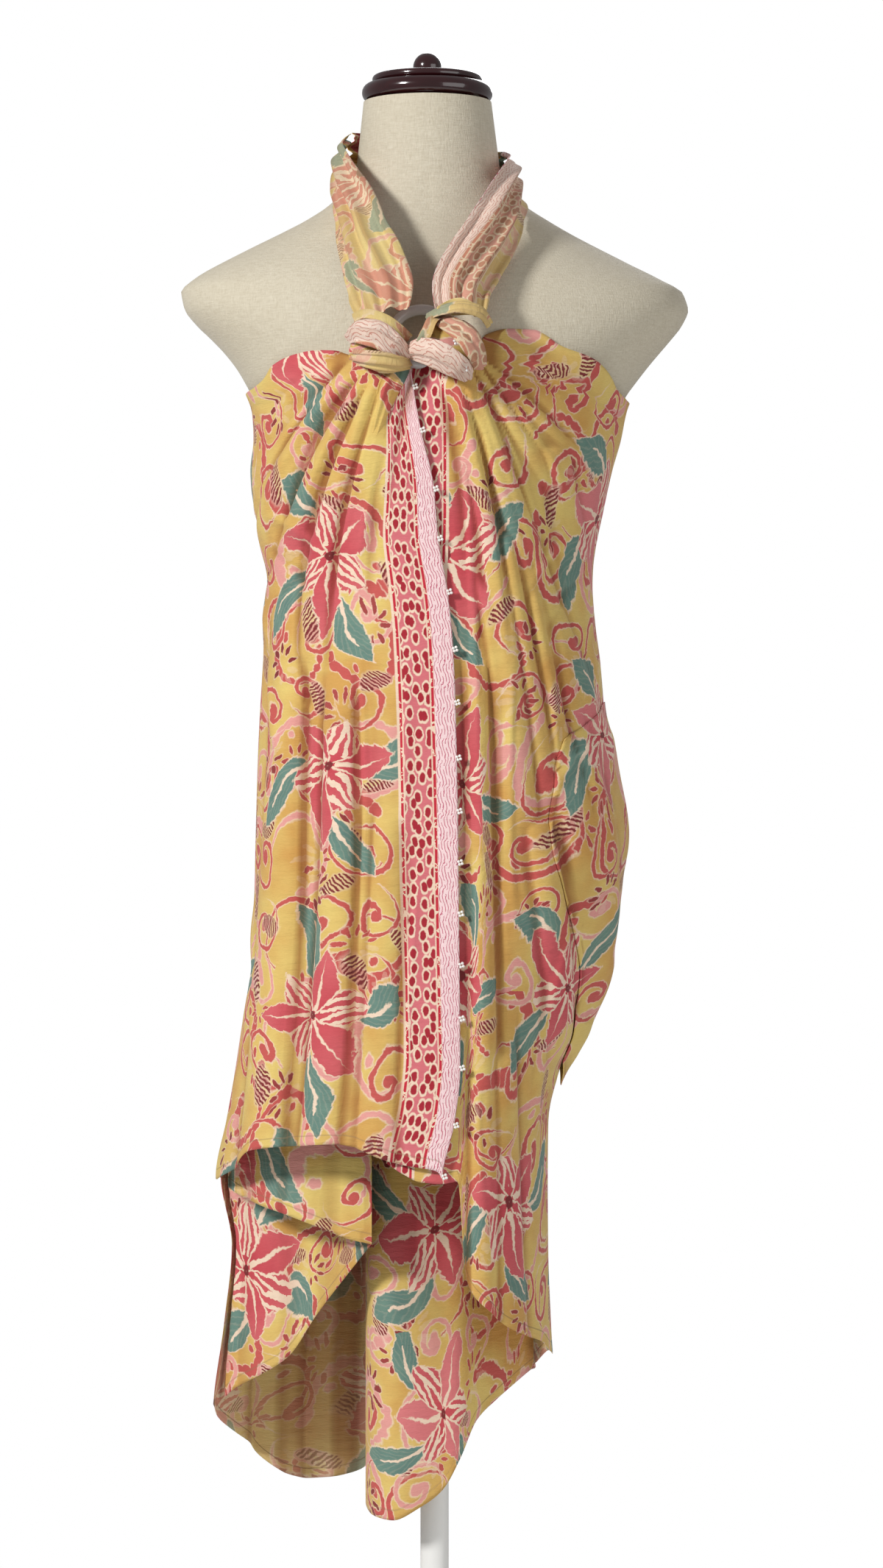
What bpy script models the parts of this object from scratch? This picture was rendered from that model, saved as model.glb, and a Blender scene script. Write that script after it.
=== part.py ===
"""Sarong tied halter-style over a limbless dress form: one printed cotton length whose two
bordered ends meet at the centre front, with its top corners drawn through a clear ring,
knotted, and taken up behind the neck. Metres, +Z up, the front faces -Y."""

import math

import bmesh
import bpy
import numpy as np
from mathutils import Vector

WALL = 0.0012
SEAM = 0.0003
SIDE_SEAM = 0.0006

CLOTH_YELLOW = (0.75, 0.52, 0.16)
CLOTH_OCHRE = (0.62, 0.38, 0.12)
CLOTH_PINK = (0.80, 0.36, 0.40)
COVER_LINEN = (0.60, 0.56, 0.46)
DARK_WOOD = (0.025, 0.007, 0.008)
STAND_WHITE = (0.80, 0.80, 0.79)
CLEAR_RESIN = (0.90, 0.88, 0.84)

# Dress form, a row for each section:
# height, half width, shift to the right, depth in front, depth behind
FORM_SECTIONS = [
    (1.5215, 0.0498, -0.0055, 0.050, 0.050),
    (1.4871, 0.0527, -0.0055, 0.051, 0.053),
    (1.4600, 0.0590, -0.0055, 0.054, 0.062),
    (1.4410, 0.0760, -0.0060, 0.059, 0.072),
    (1.4294, 0.0934, -0.0060, 0.063, 0.078),
    (1.4180, 0.1140, -0.0072, 0.069, 0.084),
    (1.4065, 0.1367, -0.0080, 0.075, 0.090),
    (1.3951, 0.1590, -0.0080, 0.083, 0.096),
    (1.3836, 0.1805, -0.0064, 0.091, 0.101),
    (1.3722, 0.1954, -0.0020, 0.098, 0.105),
    (1.3607, 0.1962, 0.0012, 0.104, 0.107),
    (1.3492, 0.1902, 0.0036, 0.109, 0.108),
    (1.3378, 0.1800, 0.0052, 0.114, 0.108),
    (1.3263, 0.1696, 0.0058, 0.118, 0.108),
    (1.3149, 0.1604, 0.0055, 0.122, 0.107),
    (1.3034, 0.1525, 0.0045, 0.126, 0.106),
    (1.2919, 0.1455, 0.0034, 0.129, 0.1062),
    (1.2805, 0.1410, 0.0030, 0.131, 0.1042),
    (1.2576, 0.1375, 0.0012, 0.133, 0.1012),
    (1.2347, 0.1350, -0.0026, 0.129, 0.0960),
    (1.2003, 0.1300, -0.0046, 0.117, 0.087),
    (1.1659, 0.1220, -0.0038, 0.104, 0.080),
    (1.1430, 0.1205, -0.0040, 0.099, 0.079),
    (1.1000, 0.1215, -0.0030, 0.098, 0.083),
    (1.0300, 0.1245, -0.0010, 0.100, 0.092),
    (0.9600, 0.1280, 0.0010, 0.100, 0.100),
    (0.9300, 0.1270, 0.0010, 0.097, 0.098),
    (0.9210, 0.1200, 0.0010, 0.090, 0.091),
]
FORM_SIDES = 36

# Wound cloth, outer face: height, left, right, front and back reach from the stand's axis
GIRTH = [
    (1.3700, 0.2010, 0.2030, 0.1040, 0.1110),
    (1.3492, 0.1910, 0.1980, 0.1130, 0.1120),
    (1.3378, 0.1790, 0.1895, 0.1185, 0.1120),
    (1.3263, 0.1680, 0.1796, 0.1235, 0.1120),
    (1.3149, 0.1590, 0.1700, 0.1275, 0.1110),
    (1.3034, 0.1520, 0.1612, 0.1310, 0.1100),
    (1.2919, 0.1462, 0.1530, 0.1340, 0.1090),
    (1.2805, 0.1420, 0.1483, 0.1360, 0.1070),
    (1.2576, 0.1404, 0.1436, 0.1380, 0.1040),
    (1.2347, 0.1425, 0.1372, 0.1370, 0.1000),
    (1.2003, 0.1390, 0.1300, 0.1320, 0.0955),
    (1.1660, 0.1312, 0.1238, 0.1290, 0.0920),
    (1.1431, 0.1300, 0.1225, 0.1285, 0.0920),
    (1.0858, 0.1338, 0.1300, 0.1290, 0.0960),
    (1.0285, 0.1364, 0.1345, 0.1300, 0.1040),
    (0.9712, 0.1378, 0.1380, 0.1310, 0.1100),
    (0.9139, 0.1395, 0.1360, 0.1320, 0.1120),
    (0.8566, 0.1424, 0.1240, 0.1330, 0.1130),
    (0.8108, 0.1493, 0.1110, 0.1340, 0.1140),
    (0.7650, 0.1561, 0.0960, 0.1350, 0.1150),
    (0.7300, 0.1620, 0.0880, 0.1360, 0.1160),
    (0.6848, 0.1699, 0.0875, 0.1370, 0.1170),
    (0.6300, 0.1610, 0.0880, 0.1350, 0.1180),
    (0.5700, 0.1670, 0.0905, 0.1330, 0.1190),
    (0.5000, 0.1760, 0.0950, 0.1300, 0.1200),
    (0.4000, 0.1780, 0.0960, 0.1300, 0.1200),
]

# Beaded edge of the over end: height, distance to the right of the middle
BEAD_EDGE = [
    (1.3100, -0.0290),
    (1.2890, -0.0193),
    (1.2550, -0.0105),
    (1.2127, -0.0001),
    (1.1748, 0.0030),
    (1.1347, 0.0098),
    (1.0935, 0.0136),
    (1.0528, 0.0153),
    (0.9336, 0.0175),
    (0.7792, 0.0186),
    (0.7375, 0.0142),
    (0.6957, 0.0059),
]
# Edge of the under end, hidden by the over end: height, distance to the right
UNDER_EDGE = [
    (1.3100, -0.0060),
    (1.2800, -0.0150),
    (1.2000, -0.0200),
    (1.0000, -0.0240),
    (0.8000, -0.0320),
    (0.6900, -0.0360),
]
SIDE_TURN = 100.0

# Top edges and hems: distance to the right of the middle, height
OVER_TOP = [
    (-0.1900, 1.2900),
    (-0.1410, 1.2943),
    (-0.1235, 1.3094),
    (-0.1067, 1.3155),
    (-0.0883, 1.3180),
    (-0.0728, 1.3190),
    (-0.0640, 1.3120),
    (-0.0560, 1.3030),
    (-0.0460, 1.3015),
    (-0.0360, 1.3010),
    (-0.0150, 1.2950),
]
OVER_HEM = [
    (-0.1800, 0.6800),
    (-0.1600, 0.6836),
    (-0.1445, 0.6836),
    (-0.1332, 0.6863),
    (-0.1200, 0.6913),
    (-0.1030, 0.7017),
    (-0.0914, 0.7133),
    (-0.0720, 0.7188),
    (-0.0520, 0.7199),
    (-0.0400, 0.7182),
    (-0.0200, 0.7094),
    (0.0020, 0.7010),
    (0.0070, 0.6945),
]
UNDER_TOP = [
    (-0.0100, 1.2920),
    (0.0100, 1.2965),
    (0.0280, 1.3060),
    (0.0390, 1.3290),
    (0.0573, 1.3338),
    (0.0758, 1.3335),
    (0.0842, 1.3300),
    (0.0973, 1.3216),
    (0.1205, 1.3135),
    (0.1390, 1.3000),
    (0.1459, 1.2928),
    (0.1530, 1.2850),
]
UNDER_HEM = [
    (-0.0400, 0.7080),
    (-0.0249, 0.6998),
    (-0.0110, 0.6932),
    (0.0054, 0.6920),
    (0.0170, 0.6937),
    (0.0215, 0.6500),
    (0.0250, 0.6180),
    (0.0300, 0.6050),
    (0.0400, 0.5940),
    (0.0529, 0.5806),
    (0.0800, 0.5640),
    (0.0900, 0.5480),
]
BACK_TOP = [(100.0, 1.2850), (140.0, 1.2950), (180.0, 1.3000), (220.0, 1.2960), (260.0, 1.2900)]
# Hem of the back by turn about the stand's axis, from the right side round to the left
BACK_HEM = [
    (100.0, 0.5472),
    (135.0, 0.5230),
    (160.0, 0.5350),
    (180.0, 0.5150),
    (192.0, 0.4560),
    (200.0, 0.4390),
    (212.0, 0.4341),
    (222.0, 0.4400),
    (233.0, 0.4637),
    (245.0, 0.4813),
    (256.0, 0.4960),
    (260.0, 0.5050),
]

# Where the cloth swells out to meet the knots: distance to the right, half width, swell
GATHERS = [(-0.0400, 0.0340, 0.0100), (0.0120, 0.0320, 0.0115)]
GATHER_TOP = 1.3000
GATHER_LOW = 1.2500

# Folds that run down the cloth, as distance to the right at three heights:
# top height, bottom height, x at top, middle and bottom, half width at top and bottom,
# depth, share of the depth left at the bottom
OVER_FOLDS = [
    (1.300, 1.150, -0.052, -0.110, -0.126, 0.013, 0.016, 0.0070, 0.3),
    (1.305, 1.130, -0.042, -0.088, -0.114, 0.012, 0.016, 0.0085, 0.3),
    (1.306, 1.060, -0.030, -0.060, -0.088, 0.013, 0.017, 0.0100, 0.2),
    (1.300, 1.130, -0.020, -0.036, -0.048, 0.009, 0.014, 0.0050, 0.2),
    (1.160, 0.690, -0.112, -0.116, -0.134, 0.016, 0.022, 0.0075, 1.0),
    (1.080, 0.700, -0.070, -0.074, -0.088, 0.016, 0.020, 0.0060, 1.0),
    (0.980, 0.700, -0.034, -0.038, -0.044, 0.014, 0.018, 0.0045, 1.0),
]
UNDER_FOLDS = [
    (1.300, 0.920, 0.016, 0.044, 0.066, 0.012, 0.016, 0.0090, 0.3),
    (1.295, 1.000, 0.024, 0.070, 0.134, 0.012, 0.018, 0.0085, 0.2),
    (1.250, 1.110, 0.092, 0.104, 0.121, 0.013, 0.014, 0.0045, 0.2),
    (1.100, 0.700, 0.030, 0.034, 0.038, 0.011, 0.013, 0.0050, 1.0),
    (0.970, 0.770, 0.074, 0.092, 0.098, 0.013, 0.013, 0.0050, 0.6),
    (0.800, 0.570, 0.052, 0.054, 0.058, 0.014, 0.016, 0.0050, 1.0),
]
# Folds behind: turn at the top and at the bottom, top and bottom height, half width
# in degrees, depth, share of the depth left at the bottom
BACK_FOLDS = [
    (118.0, 128.0, 1.250, 0.620, 7.0, 0.0060, 1.0),
    (140.0, 146.0, 1.180, 0.560, 6.0, 0.0045, 1.0),
    (158.0, 162.0, 1.240, 0.600, 8.0, 0.0050, 1.0),
    (178.0, 176.0, 1.130, 0.540, 7.0, 0.0060, 1.0),
    (199.0, 195.0, 1.200, 0.460, 8.0, 0.0055, 1.0),
    (217.0, 212.0, 1.150, 0.450, 6.0, 0.0045, 1.0),
    (238.0, 230.0, 1.220, 0.470, 7.0, 0.0060, 1.0),
]

# Layers inside the skirt, a row for each upright line of cloth:
# distance to the right, distance behind, top height, hem height
TURNED_CORNER = [
    (-0.1600, -0.0120, 0.860, 0.6780),
    (-0.1500, -0.0260, 0.858, 0.6726),
    (-0.1350, -0.0400, 0.856, 0.6672),
    (-0.1170, -0.0520, 0.852, 0.6620),
    (-0.0900, -0.0640, 0.850, 0.6530),
    (-0.0670, -0.0730, 0.848, 0.6444),
    (-0.0480, -0.0770, 0.846, 0.6405),
]
SIDE_FALL = [
    (-0.1680, 0.0330, 0.780, 0.5060),
    (-0.1585, 0.0190, 0.790, 0.5162),
    (-0.1380, 0.0080, 0.810, 0.5290),
    (-0.1144, -0.0010, 0.830, 0.5450),
    (-0.0920, -0.0180, 0.842, 0.5790),
    (-0.0680, -0.0460, 0.846, 0.6130),
    (-0.0486, -0.0752, 0.846, 0.6400),
]
BACK_LOBE = [
    (-0.0500, 0.1060, 0.800, 0.4400),
    (-0.0540, 0.0620, 0.802, 0.4360),
    (-0.0540, 0.0160, 0.804, 0.4300),
    (-0.0490, -0.0220, 0.805, 0.4260),
    (-0.0320, -0.0370, 0.806, 0.4240),
    (-0.0120, -0.0350, 0.806, 0.4330),
    (0.0060, -0.0300, 0.806, 0.4460),
    (0.0200, -0.0250, 0.805, 0.4700),
    (0.0330, -0.0160, 0.804, 0.4980),
    (0.0480, 0.0020, 0.802, 0.5110),
    (0.0660, 0.0280, 0.800, 0.5230),
    (0.0780, 0.0480, 0.800, 0.5300),
]

# Loose fold at the right hip: height, turn at its front and back edge, how far it stands out
HIP_DRAPE = [
    (1.0550, 50.0, 128.0, 0.0002),
    (1.0000, 40.0, 134.0, 0.0030),
    (0.9480, 38.0, 138.0, 0.0080),
    (0.9139, 44.0, 136.0, 0.0058),
    (0.8796, 54.0, 132.0, 0.0072),
    (0.8400, 68.0, 124.0, 0.0084),
    (0.8108, 76.0, 116.0, 0.0082),
    (0.7800, 82.0, 108.0, 0.0060),
    (0.7560, 87.0, 100.0, 0.0035),
]

# Gathered straps: centre line to the right, behind and up, and half width
STRAP_OVER = [
    (-0.0370, -0.1450, 1.3400, 0.0205),
    (-0.0390, -0.1330, 1.3600, 0.0260),
    (-0.0450, -0.1150, 1.3810, 0.0262),
    (-0.0535, -0.0960, 1.4040, 0.0240),
    (-0.0600, -0.0750, 1.4280, 0.0230),
    (-0.0680, -0.0420, 1.4530, 0.0205),
    (-0.0700, -0.0050, 1.4720, 0.0180),
    (-0.0620, 0.0240, 1.4850, 0.0165),
]
STRAP_UNDER = [
    (0.0185, -0.1450, 1.3396, 0.0190),
    (0.0195, -0.1330, 1.3600, 0.0225),
    (0.0300, -0.1150, 1.3840, 0.0235),
    (0.0420, -0.0950, 1.4050, 0.0235),
    (0.0520, -0.0740, 1.4270, 0.0225),
    (0.0570, -0.0420, 1.4480, 0.0200),
    (0.0580, -0.0050, 1.4620, 0.0175),
    (0.0515, 0.0240, 1.4700, 0.0165),
]
STRAP_NAPE = [
    (-0.0601, 0.0277, 1.4864, 0.0160),
    (-0.0510, 0.0440, 1.4880, 0.0160),
    (-0.0320, 0.0550, 1.4880, 0.0150),
    (-0.0055, 0.0590, 1.4840, 0.0145),
    (0.0200, 0.0550, 1.4790, 0.0150),
    (0.0390, 0.0440, 1.4740, 0.0160),
    (0.0512, 0.0249, 1.4703, 0.0165),
]
STRAP_PLEATS = 3
STRAP_PLEAT_DEPTH = 0.0026

# Knots: centre, half sizes across, deep and high, and lean to the right in degrees
KNOT_OVER = (-0.0468, -0.1445, 1.3210, 0.0270, 0.0145, 0.0190, -14.0)
KNOT_UNDER = (0.0112, -0.1480, 1.3185, 0.0270, 0.0150, 0.0220, 22.0)
KNOT_GROOVES = 5
KNOT_GROOVE_DEPTH = 0.0016

RING_RADIUS = 0.0225
RING_BAR = 0.0042
RING_CENTRE = (-0.0095, -0.1244, 1.3265)
RING_LEAN = math.radians(20.0)

KNOB_RADIUS = 0.0112
KNOB_TOP = 1.5603
POLE_RADIUS = 0.0110
BASE_RADIUS = 0.1650
BASE_HEIGHT = 0.0160


def material(name, colour, roughness, metallic=0.0):
    finish = bpy.data.materials.new(name)
    finish.use_nodes = True
    shader = finish.node_tree.nodes["Principled BSDF"]
    shader.inputs["Base Color"].default_value = (*colour, 1.0)
    shader.inputs["Roughness"].default_value = roughness
    shader.inputs["Metallic"].default_value = metallic
    finish.diffuse_color = (*colour, 1.0)
    return finish


def read(rows, at, column=1, key=0):
    """Value of a table's column at a key, smooth and without overshoot."""
    keys = np.array([row[key] for row in rows])
    values = np.array([row[column] for row in rows])
    if keys[0] > keys[-1]:
        keys = keys[::-1]
        values = values[::-1]
    if at <= keys[0]:
        return float(values[0])
    if at >= keys[-1]:
        return float(values[-1])
    steps = np.diff(keys)
    slopes = np.diff(values) / steps
    last = int(np.searchsorted(keys, at)) - 1
    last = max(0, last)
    tangents = []
    for knot in (last, last + 1):
        if knot == 0 or knot == len(slopes) or slopes[knot - 1] * slopes[knot] <= 0.0:
            tangents.append(0.0)
        else:
            before = slopes[knot - 1]
            after = slopes[knot]
            tangents.append(2.0 * before * after / (before + after))
    span = steps[last]
    t = (at - keys[last]) / span
    result = values[last] * (1.0 + 2.0 * t) * (1.0 - t) ** 2
    result += values[last + 1] * t * t * (3.0 - 2.0 * t)
    result += span * t * (1.0 - t) * (tangents[0] * (1.0 - t) - tangents[1] * t)
    return float(result)


def ease(t):
    t = min(1.0, max(0.0, t))
    return t * t * (3.0 - 2.0 * t)


def turn_at(x, z):
    """Turn about the stand's axis, in degrees, where the cloth stands x to the right."""
    reach = read(GIRTH, z, 2) if x > 0.0 else read(GIRTH, z, 1)
    return math.degrees(math.asin(max(-1.0, min(1.0, x / reach))))


def wrapped(turn, z, out=0.0):
    """Point on the outer face of the wound cloth, moved out from the stand's axis."""
    angle = math.radians(turn)
    side = read(GIRTH, z, 2) if math.sin(angle) > 0.0 else read(GIRTH, z, 1)
    depth = read(GIRTH, z, 3) if math.cos(angle) > 0.0 else read(GIRTH, z, 4)
    x = (side + out) * math.sin(angle)
    y = -(depth + out) * math.cos(angle)
    return Vector((x, y, z))


def bump(distance, half_width):
    if abs(distance) >= half_width:
        return 0.0
    return math.cos(0.5 * math.pi * distance / half_width) ** 2


def front_folds(rows, x, z):
    """How far the folds of a front stand out at x to the right and height z."""
    total = 0.0
    for top, bottom, x_top, x_mid, x_low, wide_top, wide_low, depth, kept in rows:
        t = (top - z) / (top - bottom)
        if t <= 0.0 or (t >= 1.0 and kept < 1.0):
            continue
        t = min(t, 1.0)
        line = x_top * (1 - t) * (1 - 2 * t) + 4 * x_mid * t * (1 - t) + x_low * t * (2 * t - 1)
        strength = ease(t / 0.10) * (1.0 - (1.0 - kept) * t)
        if kept < 1.0:
            strength *= ease((1.0 - t) / 0.15)
        total = max(total, depth * strength * bump(x - line, wide_top + (wide_low - wide_top) * t))
    return total


def gathered(x, z):
    """How far the cloth stands out below the knots that it runs into."""
    swell = 0.0
    for middle, half, depth in GATHERS:
        swell += depth * bump(x - middle, half)
    return swell * ease((z - GATHER_LOW) / (GATHER_TOP - GATHER_LOW))


def back_folds(turn, z):
    total = 0.0
    for turn_top, turn_low, top, bottom, wide, depth, kept in BACK_FOLDS:
        t = (top - z) / (top - bottom)
        if t <= 0.0:
            continue
        t = min(t, 1.0)
        line = turn_top + (turn_low - turn_top) * t
        total += depth * ease(t / 0.3) * (1.0 - (1.0 - kept) * t) * bump(turn - line, wide)
    return total


def add_sheet(name, across, down, place, finish, collection, wall=WALL):
    """Open sheet on a grid, each point placed by its share across and down, made solid."""
    bpy.ops.mesh.primitive_grid_add(x_subdivisions=across, y_subdivisions=down, size=1.0)
    sheet = bpy.context.object
    for vertex in sheet.data.vertices:
        vertex.co = place(vertex.co.x + 0.5, 0.5 - vertex.co.y)
    solid = sheet.modifiers.new("wall", "SOLIDIFY")
    solid.thickness = wall
    solid.offset = -1.0
    solid.use_even_offset = True
    solid.thickness_clamp = 0.0
    sheet.data.shade_smooth()
    return keep(sheet, name, finish, collection)


def keep(thing, name, finish, collection):
    thing.name = name
    thing.data.name = name
    thing.data.materials.clear()
    thing.data.materials.append(finish)
    for held in list(thing.users_collection):
        held.objects.unlink(thing)
    collection.objects.link(thing)
    return thing


def add_turned(name, profile, finish, collection, centre=(0.0, 0.0, 0.0), steps=28):
    """Turned piece: a profile of radius and height, run from the top down its outer side."""
    mesh = bpy.data.meshes.new(name)
    points = [(radius, 0.0, height) for radius, height in profile]
    edges = [(index, index + 1) for index in range(len(points) - 1)]
    mesh.from_pydata(points, edges, [])
    piece = bpy.data.objects.new(name, mesh)
    bpy.context.scene.collection.objects.link(piece)
    screw = piece.modifiers.new("turn", "SCREW")
    screw.steps = steps
    screw.render_steps = steps
    screw.use_merge_vertices = True
    screw.merge_threshold = 0.00005
    piece.location = centre
    return keep(piece, name, finish, collection)


def half_round(radius, bottom, top, steps=6):
    """Edge of a disc, rounded between two heights, from the top down."""
    middle = 0.5 * (top + bottom)
    bulge = 0.5 * (top - bottom)
    points = []
    for index in range(steps + 1):
        angle = math.pi * (0.5 - index / steps)
        points.append((radius - bulge + bulge * math.cos(angle), middle + bulge * math.sin(angle)))
    return points


def form_point(row, angle):
    z, half, shift, front, back = row
    depth = front if math.cos(angle) > 0.0 else back
    return Vector((shift + half * math.sin(angle), -depth * math.cos(angle), z))


def add_form(finish, collection):
    mesh = bpy.data.meshes.new("form_body")
    shell = bmesh.new()
    rings = []
    for row in FORM_SECTIONS:
        ring = []
        for side in range(FORM_SIDES):
            ring.append(shell.verts.new(form_point(row, 2.0 * math.pi * side / FORM_SIDES)))
        rings.append(ring)
    for upper, lower in zip(rings, rings[1:]):
        for side in range(FORM_SIDES):
            after = (side + 1) % FORM_SIDES
            shell.faces.new((upper[side], lower[side], lower[after], upper[after]))
    shell.faces.new(rings[0])
    shell.faces.new(rings[-1][::-1])
    bmesh.ops.recalc_face_normals(shell, faces=shell.faces)
    shell.to_mesh(mesh)
    shell.free()
    mesh.shade_smooth()
    body = bpy.data.objects.new("form_body", mesh)
    bpy.context.scene.collection.objects.link(body)
    return keep(body, "form_body", finish, collection)


def clear_of_form(point, gap):
    """The same point, moved straight out where it is nearer the dress form than the gap."""
    half = read(FORM_SECTIONS, point.z, 1)
    shift = read(FORM_SECTIONS, point.z, 2)
    depth = read(FORM_SECTIONS, point.z, 3) if point.y < 0.0 else read(FORM_SECTIONS, point.z, 4)
    x = point.x - shift
    inside = math.sqrt((x / (half + gap)) ** 2 + (point.y / (depth + gap)) ** 2)
    if inside >= 1.0 or inside == 0.0:
        return point
    return Vector((shift + x / inside, point.y / inside, point.z))


def inside_wrap(point, gap):
    """The same point, moved straight in where it is nearer the wound cloth than the gap."""
    side = read(GIRTH, point.z, 2) if point.x > 0.0 else read(GIRTH, point.z, 1)
    depth = read(GIRTH, point.z, 3) if point.y < 0.0 else read(GIRTH, point.z, 4)
    reach = math.sqrt((point.x / (side - gap)) ** 2 + (point.y / (depth - gap)) ** 2)
    if reach <= 1.0:
        return point
    return Vector((point.x / reach, point.y / reach, point.z))


def over_front(u, v):
    x_hem = -0.170 + (0.0060 + 0.170) * u ** 0.8
    z = 0.0
    for _ in range(3):
        height = z if z else 1.0
        start = -SIDE_TURN
        end = turn_at(read(BEAD_EDGE, height), height)
        turn = start + (end - start) * u ** 0.8
        x = wrapped(turn, height).x
        top = read(OVER_TOP, x) if turn > -90.0 else 1.2900
        hem = read(OVER_HEM, x_hem)
        z = top + (hem - top) * v
    out = 0.0040 * ease((u - 0.35) / 0.35) + 0.0004
    rise = front_folds(OVER_FOLDS, x, z) + gathered(x, z) if turn > -88.0 else 0.0
    point = wrapped(turn, z, out)
    outward = Vector((math.sin(math.radians(turn)), -math.cos(math.radians(turn)), 0.0))
    return point + outward * rise


def under_turn(u, height):
    start = turn_at(read(UNDER_EDGE, height), height)
    return start + (SIDE_TURN - start) * u


def under_front(u, v):
    shown = u ** 1.25
    z = 0.0
    for _ in range(3):
        height = z if z else 1.0
        turn = under_turn(shown, height)
        x = wrapped(turn, height).x
        low = wrapped(under_turn(shown, 0.65), 0.65).x
        top = read(UNDER_TOP, x) if turn < 90.0 else 1.2850
        hem = read(UNDER_HEM, low) if under_turn(shown, 0.65) < 90.0 else 0.5472
        z = top + (hem - top) * v
    hidden = ease((x - read(BEAD_EDGE, z) - 0.004) / 0.012)
    rise = front_folds(UNDER_FOLDS, x, z) * hidden + gathered(x, z) if turn < 88.0 else 0.0
    outward = Vector((math.sin(math.radians(turn)), -math.cos(math.radians(turn)), 0.0))
    return wrapped(turn, z) + outward * rise


def back_wrap(u, v):
    seam = math.degrees(SIDE_SEAM / 0.13)
    turn = SIDE_TURN + seam + (360.0 - 2.0 * (SIDE_TURN + seam)) * u
    top = read(BACK_TOP, turn)
    hem = read(BACK_HEM, turn)
    z = top + (hem - top) * v
    edge = min(1.0, 12.0 * u, 12.0 * (1.0 - u))
    out = 0.0004 * ease(5.0 * (u - 0.8))
    return wrapped(turn, z, out + back_folds(turn, z) * edge)


def inner_layer(rows, bow, gap):
    """Loose layer inside the skirt, hung between its rows and bowed towards its hem."""
    def place(u, v):
        lines = [(index / (len(rows) - 1), *row) for index, row in enumerate(rows)]
        x = read(lines, u, 1)
        y = read(lines, u, 2)
        top = read(lines, u, 3)
        hem = read(lines, u, 4)
        wave = bow * math.sin(3.0 * math.pi * u) * math.sin(0.5 * math.pi * v)
        return inside_wrap(Vector((x, y + wave, top + (hem - top) * v)), gap)
    return place


def hip_drape(u, v):
    z = HIP_DRAPE[0][0] + (HIP_DRAPE[-1][0] - HIP_DRAPE[0][0]) * v
    front = read(HIP_DRAPE, z, 1)
    turn = front + (read(HIP_DRAPE, z, 2) - front) * u
    x = wrapped(turn, z).x
    below = front_folds(UNDER_FOLDS, x, z) if turn < 88.0 else 0.0
    if turn > SIDE_TURN:
        below = back_folds(turn, z) * min(1.0, (turn - SIDE_TURN) / 13.0)
    stand = read(HIP_DRAPE, z, 3) * math.sin(math.pi * u) ** 0.6
    swell = 0.0016 * math.sin(2.0 * math.pi * (2.5 * u - 0.6 * v)) * math.sin(math.pi * v)
    return wrapped(turn, z, below + WALL + SEAM + 0.0026 + max(0.0, stand + swell))


def strap(rows, gap):
    count = len(rows) - 1
    lines = [(index / count, *row) for index, row in enumerate(rows)]

    def centre(t):
        return Vector((read(lines, t, 1), read(lines, t, 2), read(lines, t, 3)))

    def place(u, v):
        ahead = centre(min(1.0, v + 0.04)) - centre(max(0.0, v - 0.04))
        middle = centre(v)
        outward = Vector((middle.x + 0.0055, middle.y, 0.0)).normalized()
        across = ahead.cross(outward).normalized()
        outward = across.cross(ahead).normalized()
        side = 2.0 * u - 1.0
        half = read(lines, v, 4)
        curl = 0.0075 * (1.0 - side * side)
        ripple = STRAP_PLEAT_DEPTH * math.cos(2.0 * math.pi * STRAP_PLEATS * u + 1.6 * v)
        point = middle + across * (half * side) + outward * (curl + ripple)
        return clear_of_form(point, gap)
    return place


def add_knot(name, row, finish, collection):
    x, y, z, across, deep, high, lean = row
    bpy.ops.mesh.primitive_uv_sphere_add(segments=20, ring_count=12, radius=1.0)
    knot = bpy.context.object
    turned = math.radians(lean)
    for vertex in knot.data.vertices:
        point = vertex.co.copy()
        swirl = math.sin(KNOT_GROOVES * math.atan2(point.z, point.x) + 2.5 * point.y)
        scale = 1.0 - KNOT_GROOVE_DEPTH / deep * 0.5 * (1.0 + swirl) * (1.0 - abs(point.y) ** 3)
        wide = point.x * across * scale
        tall = point.z * high * scale
        vertex.co = (
            x + wide * math.cos(turned) + tall * math.sin(turned),
            y + point.y * deep * scale,
            z - wide * math.sin(turned) + tall * math.cos(turned),
        )
    knot.data.shade_smooth()
    return keep(knot, name, finish, collection)


def over_flap(u, v):
    """Yellow flap of the over end that falls from its knot over the top of the border."""
    half = 0.0095 - 0.0070 * v
    x = -0.0250 - 0.0170 * v ** 1.2 + half * (2.0 * u - 1.0)
    z = 1.3020 - 0.0580 * v
    rise = front_folds(OVER_FOLDS, x, z) + gathered(x, z) + WALL + SEAM + 0.0067
    return wrapped(turn_at(x, z), z, rise + 0.0030 * math.sin(math.pi * u))


def under_tail(u, v):
    """Short free tail of the under end's knot, which stands up on the knot's top."""
    x = 0.0020 + 0.0320 * u
    z = 1.3392 + 0.0130 * v * math.sin(math.pi * (0.15 + 0.70 * u))
    return Vector((x, -0.1563 - 0.0012 * math.cos(3.0 * math.pi * u), z))


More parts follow.
